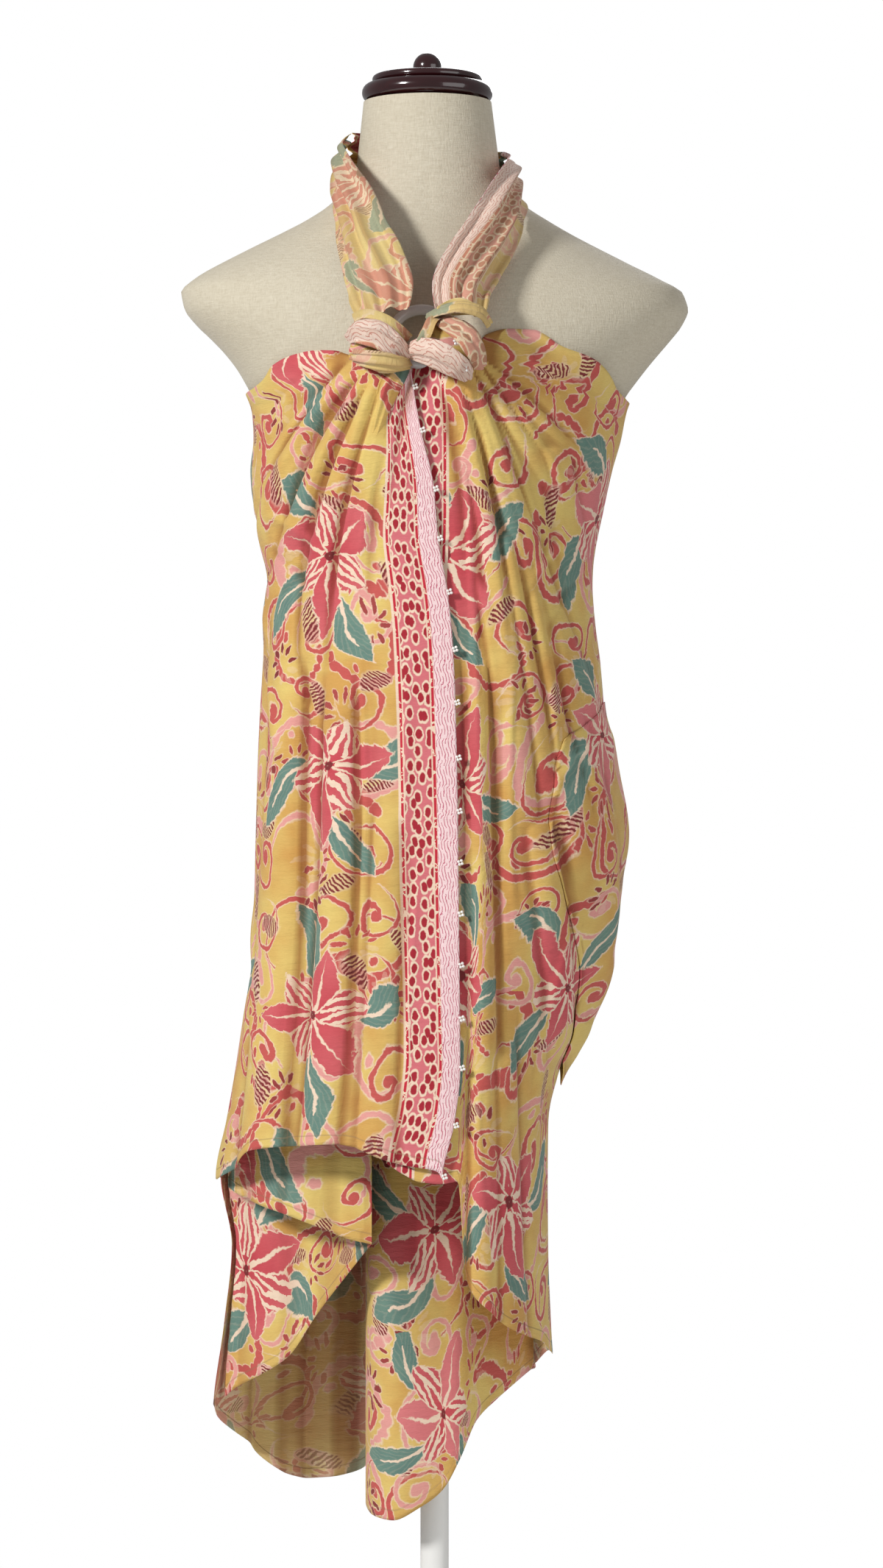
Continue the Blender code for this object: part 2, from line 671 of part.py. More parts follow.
def build():
    for old in list(bpy.data.objects):
        bpy.data.objects.remove(old, do_unlink=True)
    collection = bpy.data.collections.new("sarong_on_dress_form")
    bpy.context.scene.collection.children.link(collection)

    yellow = material("cloth_yellow", CLOTH_YELLOW, 0.85)
    ochre = material("cloth_ochre", CLOTH_OCHRE, 0.85)
    pink = material("cloth_pink", CLOTH_PINK, 0.85)
    linen = material("cover_linen", COVER_LINEN, 0.9)
    wood = material("dark_wood", DARK_WOOD, 0.2)
    stand = material("stand_white", STAND_WHITE, 0.45)
    resin = material("clear_resin", CLEAR_RESIN, 0.05)

    add_form(linen, collection)
    neck = Vector((FORM_SECTIONS[0][2], 0.0, 0.0))
    lower = [(0.0, 1.5360), *half_round(0.0510, 1.5218, 1.5360), (0.0, 1.5218)]
    upper = [(0.0, 1.5424), *half_round(0.0430, 1.5363, 1.5424), (0.0, 1.5363)]
    add_turned("cap_lower", lower, wood, collection, neck)
    add_turned("cap_upper", upper, wood, collection, neck)
    ball = [(0.0, KNOB_TOP)]
    for index in range(1, 7):
        angle = math.pi * (0.5 - index / 10.0)
        middle = KNOB_TOP - KNOB_RADIUS
        ball.append((KNOB_RADIUS * math.cos(angle), middle + KNOB_RADIUS * math.sin(angle)))
    ball += [(0.0078, 1.5434), (0.0090, 1.5427), (0.0, 1.5427)]
    add_turned("cap_knob", ball, wood, collection, neck, 20)
    pole = [(0.0, 0.9207), (POLE_RADIUS, 0.9207), (POLE_RADIUS, BASE_HEIGHT + 0.0123)]
    pole.append((0.0, BASE_HEIGHT + 0.0123))
    add_turned("form_pole", pole, stand, collection, steps=24)
    foot = [(0.0, BASE_HEIGHT + 0.0120), (0.0300, BASE_HEIGHT + 0.0120)]
    foot += [(0.0360, BASE_HEIGHT + 0.0060), (0.0600, BASE_HEIGHT)]
    foot += [(BASE_RADIUS - 0.0060, BASE_HEIGHT - 0.0040), (BASE_RADIUS, BASE_HEIGHT - 0.0100)]
    foot += [(BASE_RADIUS, 0.0), (0.0, 0.0)]
    add_turned("form_base", foot, stand, collection, steps=40)

    add_sheet("over_front", 21, 24, over_front, yellow, collection)
    add_sheet("under_front", 21, 26, under_front, ochre, collection)
    add_sheet("back_wrap", 24, 23, back_wrap, yellow, collection)
    add_sheet("turned_corner", 9, 8, inner_layer(TURNED_CORNER, 0.0025, 0.0016), ochre, collection)
    add_sheet("side_fall", 10, 10, inner_layer(SIDE_FALL, 0.0025, 0.0036), yellow, collection)
    add_sheet("back_lobe", 14, 9, inner_layer(BACK_LOBE, 0.0020, 0.0019), ochre, collection)
    add_sheet("hip_drape", 10, 10, hip_drape, yellow, collection)
    add_sheet("strap_over", 13, 12, strap(STRAP_OVER, 0.0034), yellow, collection)
    add_sheet("strap_under", 13, 12, strap(STRAP_UNDER, 0.0034), pink, collection)
    add_sheet("strap_nape", 13, 9, strap(STRAP_NAPE, 0.0020), yellow, collection)
    add_sheet("over_flap", 6, 7, over_flap, yellow, collection)
    add_sheet("under_tail", 7, 4, under_tail, ochre, collection)
    add_knot("knot_over", KNOT_OVER, pink, collection)
    add_knot("knot_under", KNOT_UNDER, pink, collection)
    bpy.ops.mesh.primitive_torus_add(
        major_radius=RING_RADIUS, minor_radius=RING_BAR, major_segments=28, minor_segments=8,
        location=RING_CENTRE, rotation=(math.radians(90.0) - RING_LEAN, 0.0, 0.0))
    keep(bpy.context.object, "sarong_ring", resin, collection)


build()
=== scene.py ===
import math

import bpy
import numpy as np
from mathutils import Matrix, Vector, noise


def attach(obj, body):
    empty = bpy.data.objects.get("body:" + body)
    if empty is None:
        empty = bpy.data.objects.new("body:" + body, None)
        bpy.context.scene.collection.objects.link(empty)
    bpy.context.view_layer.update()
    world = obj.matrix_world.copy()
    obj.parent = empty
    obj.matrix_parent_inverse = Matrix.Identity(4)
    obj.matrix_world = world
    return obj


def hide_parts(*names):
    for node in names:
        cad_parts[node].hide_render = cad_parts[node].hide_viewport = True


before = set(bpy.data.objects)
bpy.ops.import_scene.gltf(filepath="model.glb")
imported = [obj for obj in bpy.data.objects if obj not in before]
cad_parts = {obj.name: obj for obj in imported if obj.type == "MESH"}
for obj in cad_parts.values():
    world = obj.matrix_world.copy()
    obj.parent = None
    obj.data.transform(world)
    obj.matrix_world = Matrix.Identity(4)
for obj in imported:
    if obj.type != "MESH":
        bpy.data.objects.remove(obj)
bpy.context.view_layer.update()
print("frame loaded:", len(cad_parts), "nodes")

# camera and studio ---------------------------------------------------------
studio = {
    "cameraPlace": (0.0054, -3.4, 0.991),
    "lens": 66.83,
    "keyPlace": (-2.4, -2.5, 2.6),
    "keySize": 0.55,
    "keyPower": 122.0,
    "fillPlace": (2.4, -2.2, 1.4),
    "fillSize": 2.4,
    "fillPower": 30.0,
    "backPlace": (0.6, 2.6, 2.6),
    "backPower": 30.0,
    "roomLight": 0.27,
    "floorRadius": 1.9,
}


def paint(red, green, blue):
    levels = []
    for level in (red, green, blue):
        share = level / 255.0
        levels.append(share / 12.92 if share <= 0.04045 else ((share + 0.055) / 1.055) ** 2.4)
    return (*levels, 1.0)


def clearSelection():
    if bpy.context.object and bpy.context.object.mode != "OBJECT":
        bpy.ops.object.mode_set(mode="OBJECT")
    bpy.ops.object.select_all(action="DESELECT")


def aimed(place, target):
    return (Vector(target) - Vector(place)).to_track_quat("-Z", "Y").to_euler()


clearSelection()
bpy.ops.object.camera_add(location=studio["cameraPlace"], rotation=(math.radians(90.0), 0.0, 0.0))
camera = bpy.context.object
camera.data.sensor_fit = "VERTICAL"
camera.data.sensor_height = 24.0
camera.data.lens = studio["lens"]
bpy.context.scene.camera = camera

for lampName, lampTarget in (("key", (0.0, 0.0, 1.0)), ("fill", (0.0, 0.0, 1.0)), ("back", (0.0, 0.0, 1.2))):
    lampPlace = studio[lampName + "Place"]
    bpy.ops.object.light_add(type="AREA", location=lampPlace, rotation=aimed(lampPlace, lampTarget))
    lamp = bpy.context.object
    lamp.name = lampName + "_light"
    lamp.data.energy = studio[lampName + "Power"]
    lamp.data.size = studio.get(lampName + "Size", 1.6)
print("camera and lights set")


# shader maths --------------------------------------------------------------
class Wire:
    def __init__(self, finish, socket):
        self.finish = finish
        self.socket = socket

    def maths(self, operation, *values, clamp=False):
        sockets = {index: value for index, value in enumerate(values)}
        if any(holdsVector(value) for value in values):
            return self.finish.wire("ShaderNodeVectorMath", {"operation": operation}, sockets)
        return self.finish.wire("ShaderNodeMath", {"operation": operation, "use_clamp": clamp}, sockets)

    def __add__(self, other):
        return self.maths("ADD", self, other)

    def __radd__(self, other):
        return self.maths("ADD", other, self)

    def __sub__(self, other):
        return self.maths("SUBTRACT", self, other)

    def __rsub__(self, other):
        return self.maths("SUBTRACT", other, self)

    def __mul__(self, other):
        return self.maths("MULTIPLY", self, other)

    def __rmul__(self, other):
        return self.maths("MULTIPLY", other, self)

    def __truediv__(self, other):
        return self.maths("DIVIDE", self, other)

    def __lt__(self, other):
        return self.maths("LESS_THAN", self, other)

    def __gt__(self, other):
        return self.maths("GREATER_THAN", self, other)

    def __pow__(self, other):
        return self.maths("POWER", self, other)

    def __mod__(self, other):
        return self.maths("FLOORED_MODULO", self, other)

    def __abs__(self):
        return self.maths("ABSOLUTE", self)

    def least(self, other):
        return self.maths("MINIMUM", self, other)

    def most(self, other):
        return self.maths("MAXIMUM", self, other)

    def fraction(self):
        return self.maths("FRACT", self)

    def whole(self):
        return self.maths("FLOOR", self)

    def sine(self):
        return self.maths("SINE", self)

    def cosine(self):
        return self.maths("COSINE", self)

    def inked(self, softness=0.0007):
        # 1 where the distance is inside a shape, 0 outside, with a soft edge
        return self.maths("MULTIPLY_ADD", self, 1.0 / softness, 0.5, clamp=True)

    def parts(self):
        made = self.finish.node("ShaderNodeSeparateXYZ", {}, {0: self})
        return [Wire(self.finish, output) for output in made.outputs]


def holdsVector(value):
    if isinstance(value, Wire):
        return value.socket.type in ("VECTOR", "RGBA")
    return isinstance(value, tuple)


class Finish:
    def __init__(self, name, **fixed):
        self.material = bpy.data.materials.new(name)
        self.material.use_nodes = True
        self.tree = self.material.node_tree
        self.shader = self.tree.nodes["Principled BSDF"]
        for socketName, value in fixed.items():
            self.shader.inputs[socketName.replace("_", " ")].default_value = value

    def node(self, kind, settings, sockets):
        made = self.tree.nodes.new(kind)
        for name, value in settings.items():
            if name == "stops":
                ramp = made.color_ramp
                while len(ramp.elements) < len(value):
                    ramp.elements.new(0.5)
                for element, (place, colour) in zip(ramp.elements, value):
                    element.position = place
                    element.color = colour
            else:
                setattr(made, name, value)
        for key, value in sockets.items():
            if isinstance(value, Wire):
                self.tree.links.new(value.socket, made.inputs[key])
            else:
                made.inputs[key].default_value = value
        return made

    def wire(self, kind, settings, sockets, output=0):
        return Wire(self, self.node(kind, settings, sockets).outputs[output])

    def mapped(self, name):
        return self.wire("ShaderNodeUVMap", {"uv_map": name}, {})

    def objectPlace(self):
        return self.wire("ShaderNodeTexCoord", {}, {}, "Object")

    def noise(self, place, scale, detail=2.0, roughness=0.5, flat=True, output="Factor"):
        size = "2D" if flat else "3D"
        output = 0 if output == "Factor" else 1
        sockets = {"Vector": place, "Scale": scale, "Detail": detail, "Roughness": roughness}
        return self.wire("ShaderNodeTexNoise", {"noise_dimensions": size}, sockets, output)

    def blend(self, factor, first, second, kind="MIX"):
        settings = {"data_type": "RGBA", "blend_type": kind}
        return self.wire("ShaderNodeMix", settings, {0: factor, 6: first, 7: second}, 2)

    def feed(self, socketName, value):
        self.tree.links.new(value.socket, self.shader.inputs[socketName])

    def relief(self, height, strength, distance):
        sockets = {"Strength": strength, "Distance": distance, "Height": height}
        self.feed("Normal", self.wire("ShaderNodeBump", {}, sockets))


# tables and small helpers --------------------------------------------------
def smoothTable(rows, column=1, key=0):
    # a table's column as a smooth function without overshoot
    keys = np.array([row[key] for row in rows], float)
    values = np.array([row[column] for row in rows], float)
    if keys[0] > keys[-1]:
        keys = keys[::-1]
        values = values[::-1]
    steps = np.diff(keys)
    slopes = np.diff(values) / steps
    tangents = np.zeros(len(keys))
    for index in range(1, len(keys) - 1):
        before = slopes[index - 1]
        after = slopes[index]
        if before * after > 0.0:
            tangents[index] = 2.0 * before * after / (before + after)

    def lookUp(at):
        at = np.clip(at, keys[0], keys[-1])
        last = np.clip(np.searchsorted(keys, at) - 1, 0, len(keys) - 2)
        span = steps[last]
        t = (at - keys[last]) / span
        result = values[last] * (1.0 + 2.0 * t) * (1.0 - t) ** 2
        result = result + values[last + 1] * t * t * (3.0 - 2.0 * t)
        return result + span * t * (1.0 - t) * (tangents[last] * (1.0 - t) - tangents[last + 1] * t)

    return lookUp


def spread(rows):
    # rows numbered evenly from 0 to 1, so that a table can be read along them
    return [(index / (len(rows) - 1), *row) for index, row in enumerate(rows)]


def ease(t):
    t = np.clip(t, 0.0, 1.0)
    return t * t * (3.0 - 2.0 * t)


def ridge(share):
    return np.where(np.abs(share) < 1.0, np.cos(0.5 * np.pi * share) ** 2, 0.0)


def foldProfile(share):
    # full round crest, steep towards its foot, with a shallow trough along both of its sides
    crest = np.maximum(0.0, 1.0 - share * share) ** 0.95
    return crest - 0.16 * ridge((np.abs(share) - 1.15) / 0.50)


def gridRead(values, u, v):
    # a grid's values between its points
    rows, columns = values.shape
    down = np.clip(v, 0.0, 1.0) * (rows - 1)
    across = np.clip(u, 0.0, 1.0) * (columns - 1)
    row = np.minimum(down.astype(int), rows - 2)
    column = np.minimum(across.astype(int), columns - 2)
    down = down - row
    across = across - column
    upper = values[row, column] * (1.0 - across) + values[row, column + 1] * across
    lower = values[row + 1, column] * (1.0 - across) + values[row + 1, column + 1] * across
    return upper * (1.0 - down) + lower * down


# wound cloth: heights and how far it reaches left, right, front and back
wrapGirth = [
    (1.3700, 0.2010, 0.2030, 0.1040, 0.1110), (1.3492, 0.1910, 0.1980, 0.1130, 0.1120),
    (1.3378, 0.1790, 0.1895, 0.1185, 0.1120), (1.3263, 0.1680, 0.1796, 0.1235, 0.1120),
    (1.3149, 0.1590, 0.1700, 0.1275, 0.1110), (1.3034, 0.1520, 0.1612, 0.1310, 0.1100),
    (1.2919, 0.1462, 0.1530, 0.1340, 0.1090), (1.2805, 0.1420, 0.1483, 0.1360, 0.1070),
    (1.2576, 0.1404, 0.1436, 0.1380, 0.1040), (1.2347, 0.1425, 0.1372, 0.1370, 0.1000),
    (1.2003, 0.1390, 0.1300, 0.1320, 0.0955), (1.1660, 0.1312, 0.1238, 0.1290, 0.0920),
    (1.1431, 0.1300, 0.1225, 0.1285, 0.0920), (1.0858, 0.1338, 0.1300, 0.1290, 0.0960),
    (1.0285, 0.1364, 0.1345, 0.1300, 0.1040), (0.9712, 0.1378, 0.1380, 0.1310, 0.1100),
    (0.9139, 0.1395, 0.1360, 0.1320, 0.1120), (0.8566, 0.1424, 0.1240, 0.1330, 0.1130),
    (0.8108, 0.1493, 0.1110, 0.1340, 0.1140), (0.7650, 0.1561, 0.0960, 0.1350, 0.1150),
    (0.7300, 0.1620, 0.0880, 0.1360, 0.1160), (0.6848, 0.1699, 0.0875, 0.1370, 0.1170),
    (0.6300, 0.1610, 0.0880, 0.1350, 0.1180), (0.5700, 0.1670, 0.0905, 0.1330, 0.1190),
    (0.5000, 0.1760, 0.0950, 0.1300, 0.1200), (0.4000, 0.1780, 0.0960, 0.1300, 0.1200),
]
reachLeft, reachRight, reachFront, reachBack = [smoothTable(wrapGirth, column) for column in (1, 2, 3, 4)]


def turnAt(x, z):
    reach = np.where(x > 0.0, reachRight(z), reachLeft(z))
    return np.degrees(np.arcsin(np.clip(x / reach, -1.0, 1.0)))


def wrapped(turn, z, out=0.0):
    angle = np.radians(turn)
    side = np.where(np.sin(angle) > 0.0, reachRight(z), reachLeft(z))
    depth = np.where(np.cos(angle) > 0.0, reachFront(z), reachBack(z))
    return np.stack(((side + out) * np.sin(angle), -(depth + out) * np.cos(angle), z + 0.0 * angle), -1)


def outwardAt(turn):
    angle = np.radians(turn)
    return np.stack((np.sin(angle), -np.cos(angle), 0.0 * angle), -1)


def foldsAt(rows, x, z):
    # long folds: top, bottom, x at top, middle and bottom, half width at both ends, depth, kept
    total = np.zeros_like(x)
    sunk = np.zeros_like(x)
    for top, bottom, xTop, xMid, xLow, wideTop, wideLow, depth, kept in rows:
        t = (top - z) / (top - bottom)
        here = (t > 0.0) & ((t < 1.0) | (kept >= 1.0))
        t = np.clip(t, 0.0, 1.0)
        line = xTop * (1 - t) * (1 - 2 * t) + 4 * xMid * t * (1 - t) + xLow * t * (2 * t - 1)
        strength = ease(t / 0.10) * (1.0 - (1.0 - kept) * t)
        if kept < 1.0:
            strength = strength * ease((1.0 - t) / 0.15)
        rise = depth * strength * foldProfile((x - line) / (wideTop + (wideLow - wideTop) * t ** 0.7))
        total = np.maximum(total, np.where(here, rise, 0.0))
        sunk = np.minimum(sunk, np.where(here, rise, 0.0))
    return np.where(total > 0.0, total, np.maximum(sunk, -0.0014))


def creasesAt(rows, x, z):
    # fine creases along a bowed line: from x, z to x, z, bow, half width, height (less than 0 sinks)
    total = np.zeros_like(x)
    for startX, startZ, endX, endZ, bow, half, height in rows:
        runX = endX - startX
        runZ = endZ - startZ
        length = math.hypot(runX, runZ)
        t = ((x - startX) * runX + (z - startZ) * runZ) / (length * length)
        aside = ((x - startX) * runZ - (z - startZ) * runX) / length
        aside = aside - bow * 4.0 * t * (1.0 - t)
        strength = ease(t / 0.22) * ease((1.0 - t) / 0.38)
        total += height * strength * ridge(aside / (half * (0.75 + 0.5 * t)))
    return total


def unevenness(points, across, up, seed):
    # slow swell of the cloth, from noise that is stretched along its fall
    values = np.empty(points.shape[:-1])
    for index in np.ndindex(values.shape):
        x, y, z = points[index]
        values[index] = noise.noise(Vector((x * across + seed, y * across, z * up)))
    return values


gathers = [(-0.0400, 0.0340, 0.0100), (0.0120, 0.0320, 0.0115)]


def gatheredAt(x, z):
    swell = np.zeros_like(x)
    for middle, half, depth in gathers:
        swell = swell + depth * ridge((x - middle) / half)
    return swell * ease((z - 1.2500) / 0.0500)


def lengthsAlong(points, axis):
    # running length along a grid's rows or columns
    steps = np.linalg.norm(np.diff(points, axis=axis), axis=-1)
    running = np.cumsum(steps, axis=axis)
    start = np.zeros_like(np.take(running, [0], axis=axis))
    return np.concatenate((start, running), axis=axis)


def runningMean(values, reach, axis):
    # mean over the neighbours within reach, with the ends held
    pads = [(0, 0)] * values.ndim
    pads[axis] = (reach + 1, reach)
    total = np.cumsum(np.pad(values, pads, mode="edge"), axis=axis)
    count = values.shape[axis]
    late = np.take(total, np.arange(2 * reach + 1, 2 * reach + 1 + count), axis=axis)
    early = np.take(total, np.arange(0, count), axis=axis)
    return (late - early) / (2 * reach + 1)


def foldShadeDepths(points):
    # how deep each point lies between the folds beside it, from 0 to 1, for the painted shade in the folds
    step = np.linalg.norm(np.diff(points, axis=1), axis=-1).mean()
    reach = int(np.clip(round(0.013 / step), 3, 7))
    around = runningMean(runningMean(points, reach, 1), 3, 0)
    normal = np.cross(np.gradient(around, axis=1), np.gradient(around, axis=0))
    normal = normal / np.maximum(np.linalg.norm(normal, axis=-1, keepdims=True), 1e-9)
    depth = np.abs((points - around) * normal).sum(-1) * np.sign(((points - around) * normal).sum(-1))
    # narrow bands take less of the painted fold shade than wide sheets
    full = 0.0042 if step > 0.0015 else 0.0100
    return np.clip(0.5 + depth / full, 0.0, 1.0)


def makeSheet(name, across, down, place, finishes, wall=0.0005, side=-1.0):
    # a cloth sheet on a grid: place gives its points, its print map and its edge map
    clearSelection()
    bpy.ops.mesh.primitive_grid_add(x_subdivisions=across, y_subdivisions=down, size=1.0)
    sheet = bpy.context.object
    sheet.name = name
    mesh = sheet.data
    mesh.name = name
    flat = np.empty(len(mesh.vertices) * 3)
    mesh.vertices.foreach_get("co", flat)
    flat = flat.reshape(-1, 3)
    column = np.rint((flat[:, 0] + 0.5) * across).astype(int)
    row = np.rint((0.5 - flat[:, 1]) * down).astype(int)
    v, u = np.meshgrid(np.arange(down + 1) / down, np.arange(across + 1) / across, indexing="ij")
    points, printMap, edgeMap = place(u, v)
    mesh.vertices.foreach_set("co", points[row, column].ravel())
    corner = np.empty(len(mesh.loops), int)
    mesh.loops.foreach_get("vertex_index", corner)
    mesh.uv_layers[0].name = "print"
    mesh.uv_layers.new(name="edge")
    for layerName, values in (("print", printMap), ("edge", edgeMap)):
        flatMap = values[row, column][corner]
        mesh.uv_layers[layerName].data.foreach_set("uv", flatMap.ravel())
    # the fold depth is stored on the mesh for the painted shade in the cloth's folds
    hollow = mesh.attributes.new("hollow", "FLOAT", "POINT")
    hollow.data.foreach_set("value", foldShadeDepths(points)[row, column])
    for finish in finishes:
        mesh.materials.append(finish.material)
    mesh.update()
    solid = sheet.modifiers.new("cloth", "SOLIDIFY")
    solid.thickness = wall
    solid.offset = side
    solid.material_offset = 1 if len(finishes) > 1 else 0
    bpy.ops.object.modifier_apply(modifier="cloth")
    bpy.ops.object.shade_smooth()
    return sheet


# finishes ------------------------------------------------------------------
inks = {
    "yellow": paint(224, 196, 112),
    "ochre": paint(208, 158, 80),
    "lemon": paint(224, 212, 140),
    "resist": paint(238, 212, 188),
    "coral": paint(196, 84, 78),
    "petal": paint(208, 76, 84),
    "petalDeep": paint(188, 44, 62),
    "petalPale": paint(226, 140, 140),
    "pinkStem": paint(226, 156, 148),
    "leaf": paint(116, 148, 132),
    "leafDeep": paint(84, 118, 112),
    "maroon": paint(124, 30, 34),
    "bandPink": paint(212, 110, 118),
    "bandRed": paint(166, 18, 40),
    "bandLine": paint(196, 24, 52),
    "waveGround": paint(246, 216, 218),
    "waveLine": paint(192, 84, 112),
    "reverse": paint(210, 196, 150),
}
printSizes = {
    "lilySpacing": 0.170,
    "lilyPetal": 0.056,
    "leafStart": 0.027,
    "leafLength": 0.058,
    "vineSpacing": 0.072,
    "vineReach": 0.024,
    "curlSpacing": 0.056,
    "curlPitch": 0.018,
    "combSpacing": 0.078,
    "budSpacing": 0.070,
    "wavyBand": 0.0165,
    "dottedBand": 0.0445,
    "dotSpacing": 0.0084,
}


def motifCell(finish, place, spacing, jitter, shift):
    # the nearest motif's own coordinates, turned by chance, and two chance numbers
    moved = place + (shift[0], shift[1], 0.0)
    sockets = {"Vector": moved, "Scale": 1.0 / spacing, "Randomness": jitter}
    cells = finish.node("ShaderNodeTexVoronoi", {"voronoi_dimensions": "2D"}, sockets)
    local = moved - Wire(finish, cells.outputs["Position"])
    chance, pick, other = Wire(finish, cells.outputs["Color"]).parts()
    sockets = {"Vector": local, "Angle": chance * math.tau}
    turned = finish.wire("ShaderNodeVectorRotate", {"rotation_type": "Z_AXIS"}, sockets)
    x, y, rest = turned.parts()
    return x, y, pick, other


def addStems(finish, cell, ground):
    # long curved stem that thickens into a bulb, coral or pale pink
    x, y, pick, other = cell
    reach = (x * x + y * y) ** 0.5
    share = x.maths("ARCTAN2", y, x) * (1.0 / math.tau) + 0.5
    scallops = abs((share * 60.0).sine()) * 0.0016 * (other > 0.45)
    stroke = share.least(0.74) * 0.0044 + 0.0004 + scallops - abs(reach - printSizes["vineReach"] - share * 0.010)
    stroke = stroke.least((0.74 - share) * 0.2)
    bulb = 0.0052 - ((x + 0.0030) ** 2.0 + (y - printSizes["vineReach"] - 0.0074) ** 2.0) ** 0.5
    berry = 0.0034 - ((x - 0.0150) ** 2.0 + (y - printSizes["vineReach"] + 0.0120) ** 2.0) ** 0.5
    shape = stroke.most(bulb).most(berry)
    colour = finish.blend(pick > 0.45, inks["pinkStem"], inks["coral"])
    ground = finish.blend((shape + 0.0010).inked(0.0012) * 0.75, ground, inks["resist"])
    return finish.blend(shape.inked(), ground, colour)


def addCurls(finish, cell, ground):
    # curl that winds in to a bulb
    x, y, pick, other = cell
    reach = (x * x + y * y) ** 0.5
    mirrored = y * ((other > 0.5) * 2.0 - 1.0)
    share = mirrored.maths("ARCTAN2", mirrored, x) * (1.0 / math.tau)
    winding = (reach * (1.0 / printSizes["curlPitch"]) - share).fraction()
    stroke = 0.0026 - reach * 0.045 - abs(winding - 0.5) * printSizes["curlPitch"]
    stroke = stroke.least(0.0230 - reach).most(0.0050 - reach)
    colour = finish.blend(pick > 0.6, inks["coral"], inks["pinkStem"])
    ground = finish.blend((stroke + 0.0009).inked(0.0012) * 0.75, ground, inks["resist"])
    return finish.blend(stroke.inked(), ground, colour)


def addCombs(finish, cell, ground):
    # pale patch with short dark hatching
    x, y, pick, other = cell
    patch = 0.0120 - ((x * 1.5) ** 2.0 + (y * 0.80) ** 2.0) ** 0.5
    lines = 0.27 - abs(((y + x * 0.35) * (1.0 / 0.0032)).fraction() - 0.5)
    ground = finish.blend((patch + 0.0004).inked(0.0030) * 0.45, ground, inks["resist"])
    return finish.blend((patch - 0.0008).inked() * lines.inked(0.2), ground, inks["maroon"])


def addBuds(finish, cell, ground):
    # sprig of small dashes on an arc
    x, y, pick, other = cell
    reach = (x * x + y * y) ** 0.5
    turn = x.maths("ARCTAN2", y, x) * (9.0 / math.tau) + 4.5
    part = (turn.fraction() - 0.5) * (math.tau / 9.0)
    along = (reach - 0.0125) * (1.0 / 0.0046)
    aside = part.sine() * reach * (1.0 / 0.0019)
    dash = (1.0 - along * along - aside * aside) * 0.0015
    dash = dash.least((turn < 6.0) * 0.01 - 0.001)
    colour = finish.blend(other, inks["coral"], inks["maroon"])
    ground = finish.blend((dash + 0.0009).inked(0.0012) * 0.6, ground, inks["resist"])
    return finish.blend(dash.inked(), ground, colour)


def addLeaves(finish, cell, ground, blotch):
    # leaves that stand out between the petals, with pale ribs and toothed edges
    x, y, pick, other = cell
    reach = (x * x + y * y) ** 0.5
    turn = (x.maths("ARCTAN2", y, x) + reach * 7.0) * (4.0 / math.tau) + 2.0
    number = turn.whole() % 4.0
    part = (turn.fraction() - 0.5) * (math.tau / 4.0)
    along = part.cosine() * reach
    across = abs(part.sine() * reach)
    share = (along - printSizes["leafStart"]) * (1.0 / printSizes["leafLength"])
    teeth = (share * 7.0).fraction() * 0.0010
    shape = (share * (1.0 - share)).most(-1.0) * 0.054 - teeth - across
    shape = shape.least(((number + (pick * 4.0).whole()) % 4.0 > 0.5) * 0.05 - 0.004)
    rib = (1.10 - share) * 0.0022 - across
    veins = 0.13 - abs((share * 6.0 - across * 210.0).fraction() - 0.5)
    colour = finish.blend(blotch, inks["leaf"], inks["leafDeep"])
    colour = finish.blend(veins.inked(0.1) * 0.10, colour, inks["resist"])
    colour = finish.blend(rib.inked() * (share < 0.72), colour, inks["resist"])
    ground = finish.blend((shape + 0.0014).inked(0.0012) * 0.85, ground, inks["resist"])
    return finish.blend(shape.inked(), ground, colour)


def addLilies(finish, cell, ground, blotch):
    # six petals, long and short in turn, some of them feathered with streaks
    x, y, pick, other = cell
    y = y * 1.12
    reach = (x * x + y * y) ** 0.5
    turn = (x.maths("ARCTAN2", y, x) + reach * 4.0) * (6.0 / math.tau) + 3.0
    number = turn.whole() % 2.0
    part = abs(turn.fraction() - 0.5) * (math.tau / 6.0)
    along = part.cosine() * reach
    across = part.sine() * reach
    share = along / (printSizes["lilyPetal"] - number * 0.010)
    teeth = (share * 7.0).fraction() * 0.0016
    shape = share * (1.0 - share) * 0.060 - teeth - across
    rib = (0.85 - share) * 0.0034 - across
    between = 0.0008 - (math.pi / 6.0 - part).sine() * reach
    streaks = ((across * 900.0 + share * 5.0 + blotch * 6.0).sine() > 0.15) * number * (share > 0.22)
    colour = finish.blend(blotch * 1.1, inks["petal"], inks["petalDeep"])
    colour = finish.blend(share * 0.35, colour, inks["petalPale"])
    colour = finish.blend((pick > 0.70) * (1.0 - number) * 0.55, colour, inks["petalPale"])
    colour = finish.blend(streaks, colour, inks["resist"])
    colour = finish.blend(rib.inked() * (share > 0.10) * (1.0 - number), colour, inks["resist"])
    colour = finish.blend(between.inked(), colour, inks["resist"])
    colour = finish.blend((0.0040 - reach).inked(), colour, inks["maroon"])
    ground = finish.blend((shape + 0.0014).inked(0.0012) * 0.85, ground, inks["resist"])
    return finish.blend(shape.inked(), ground, colour)


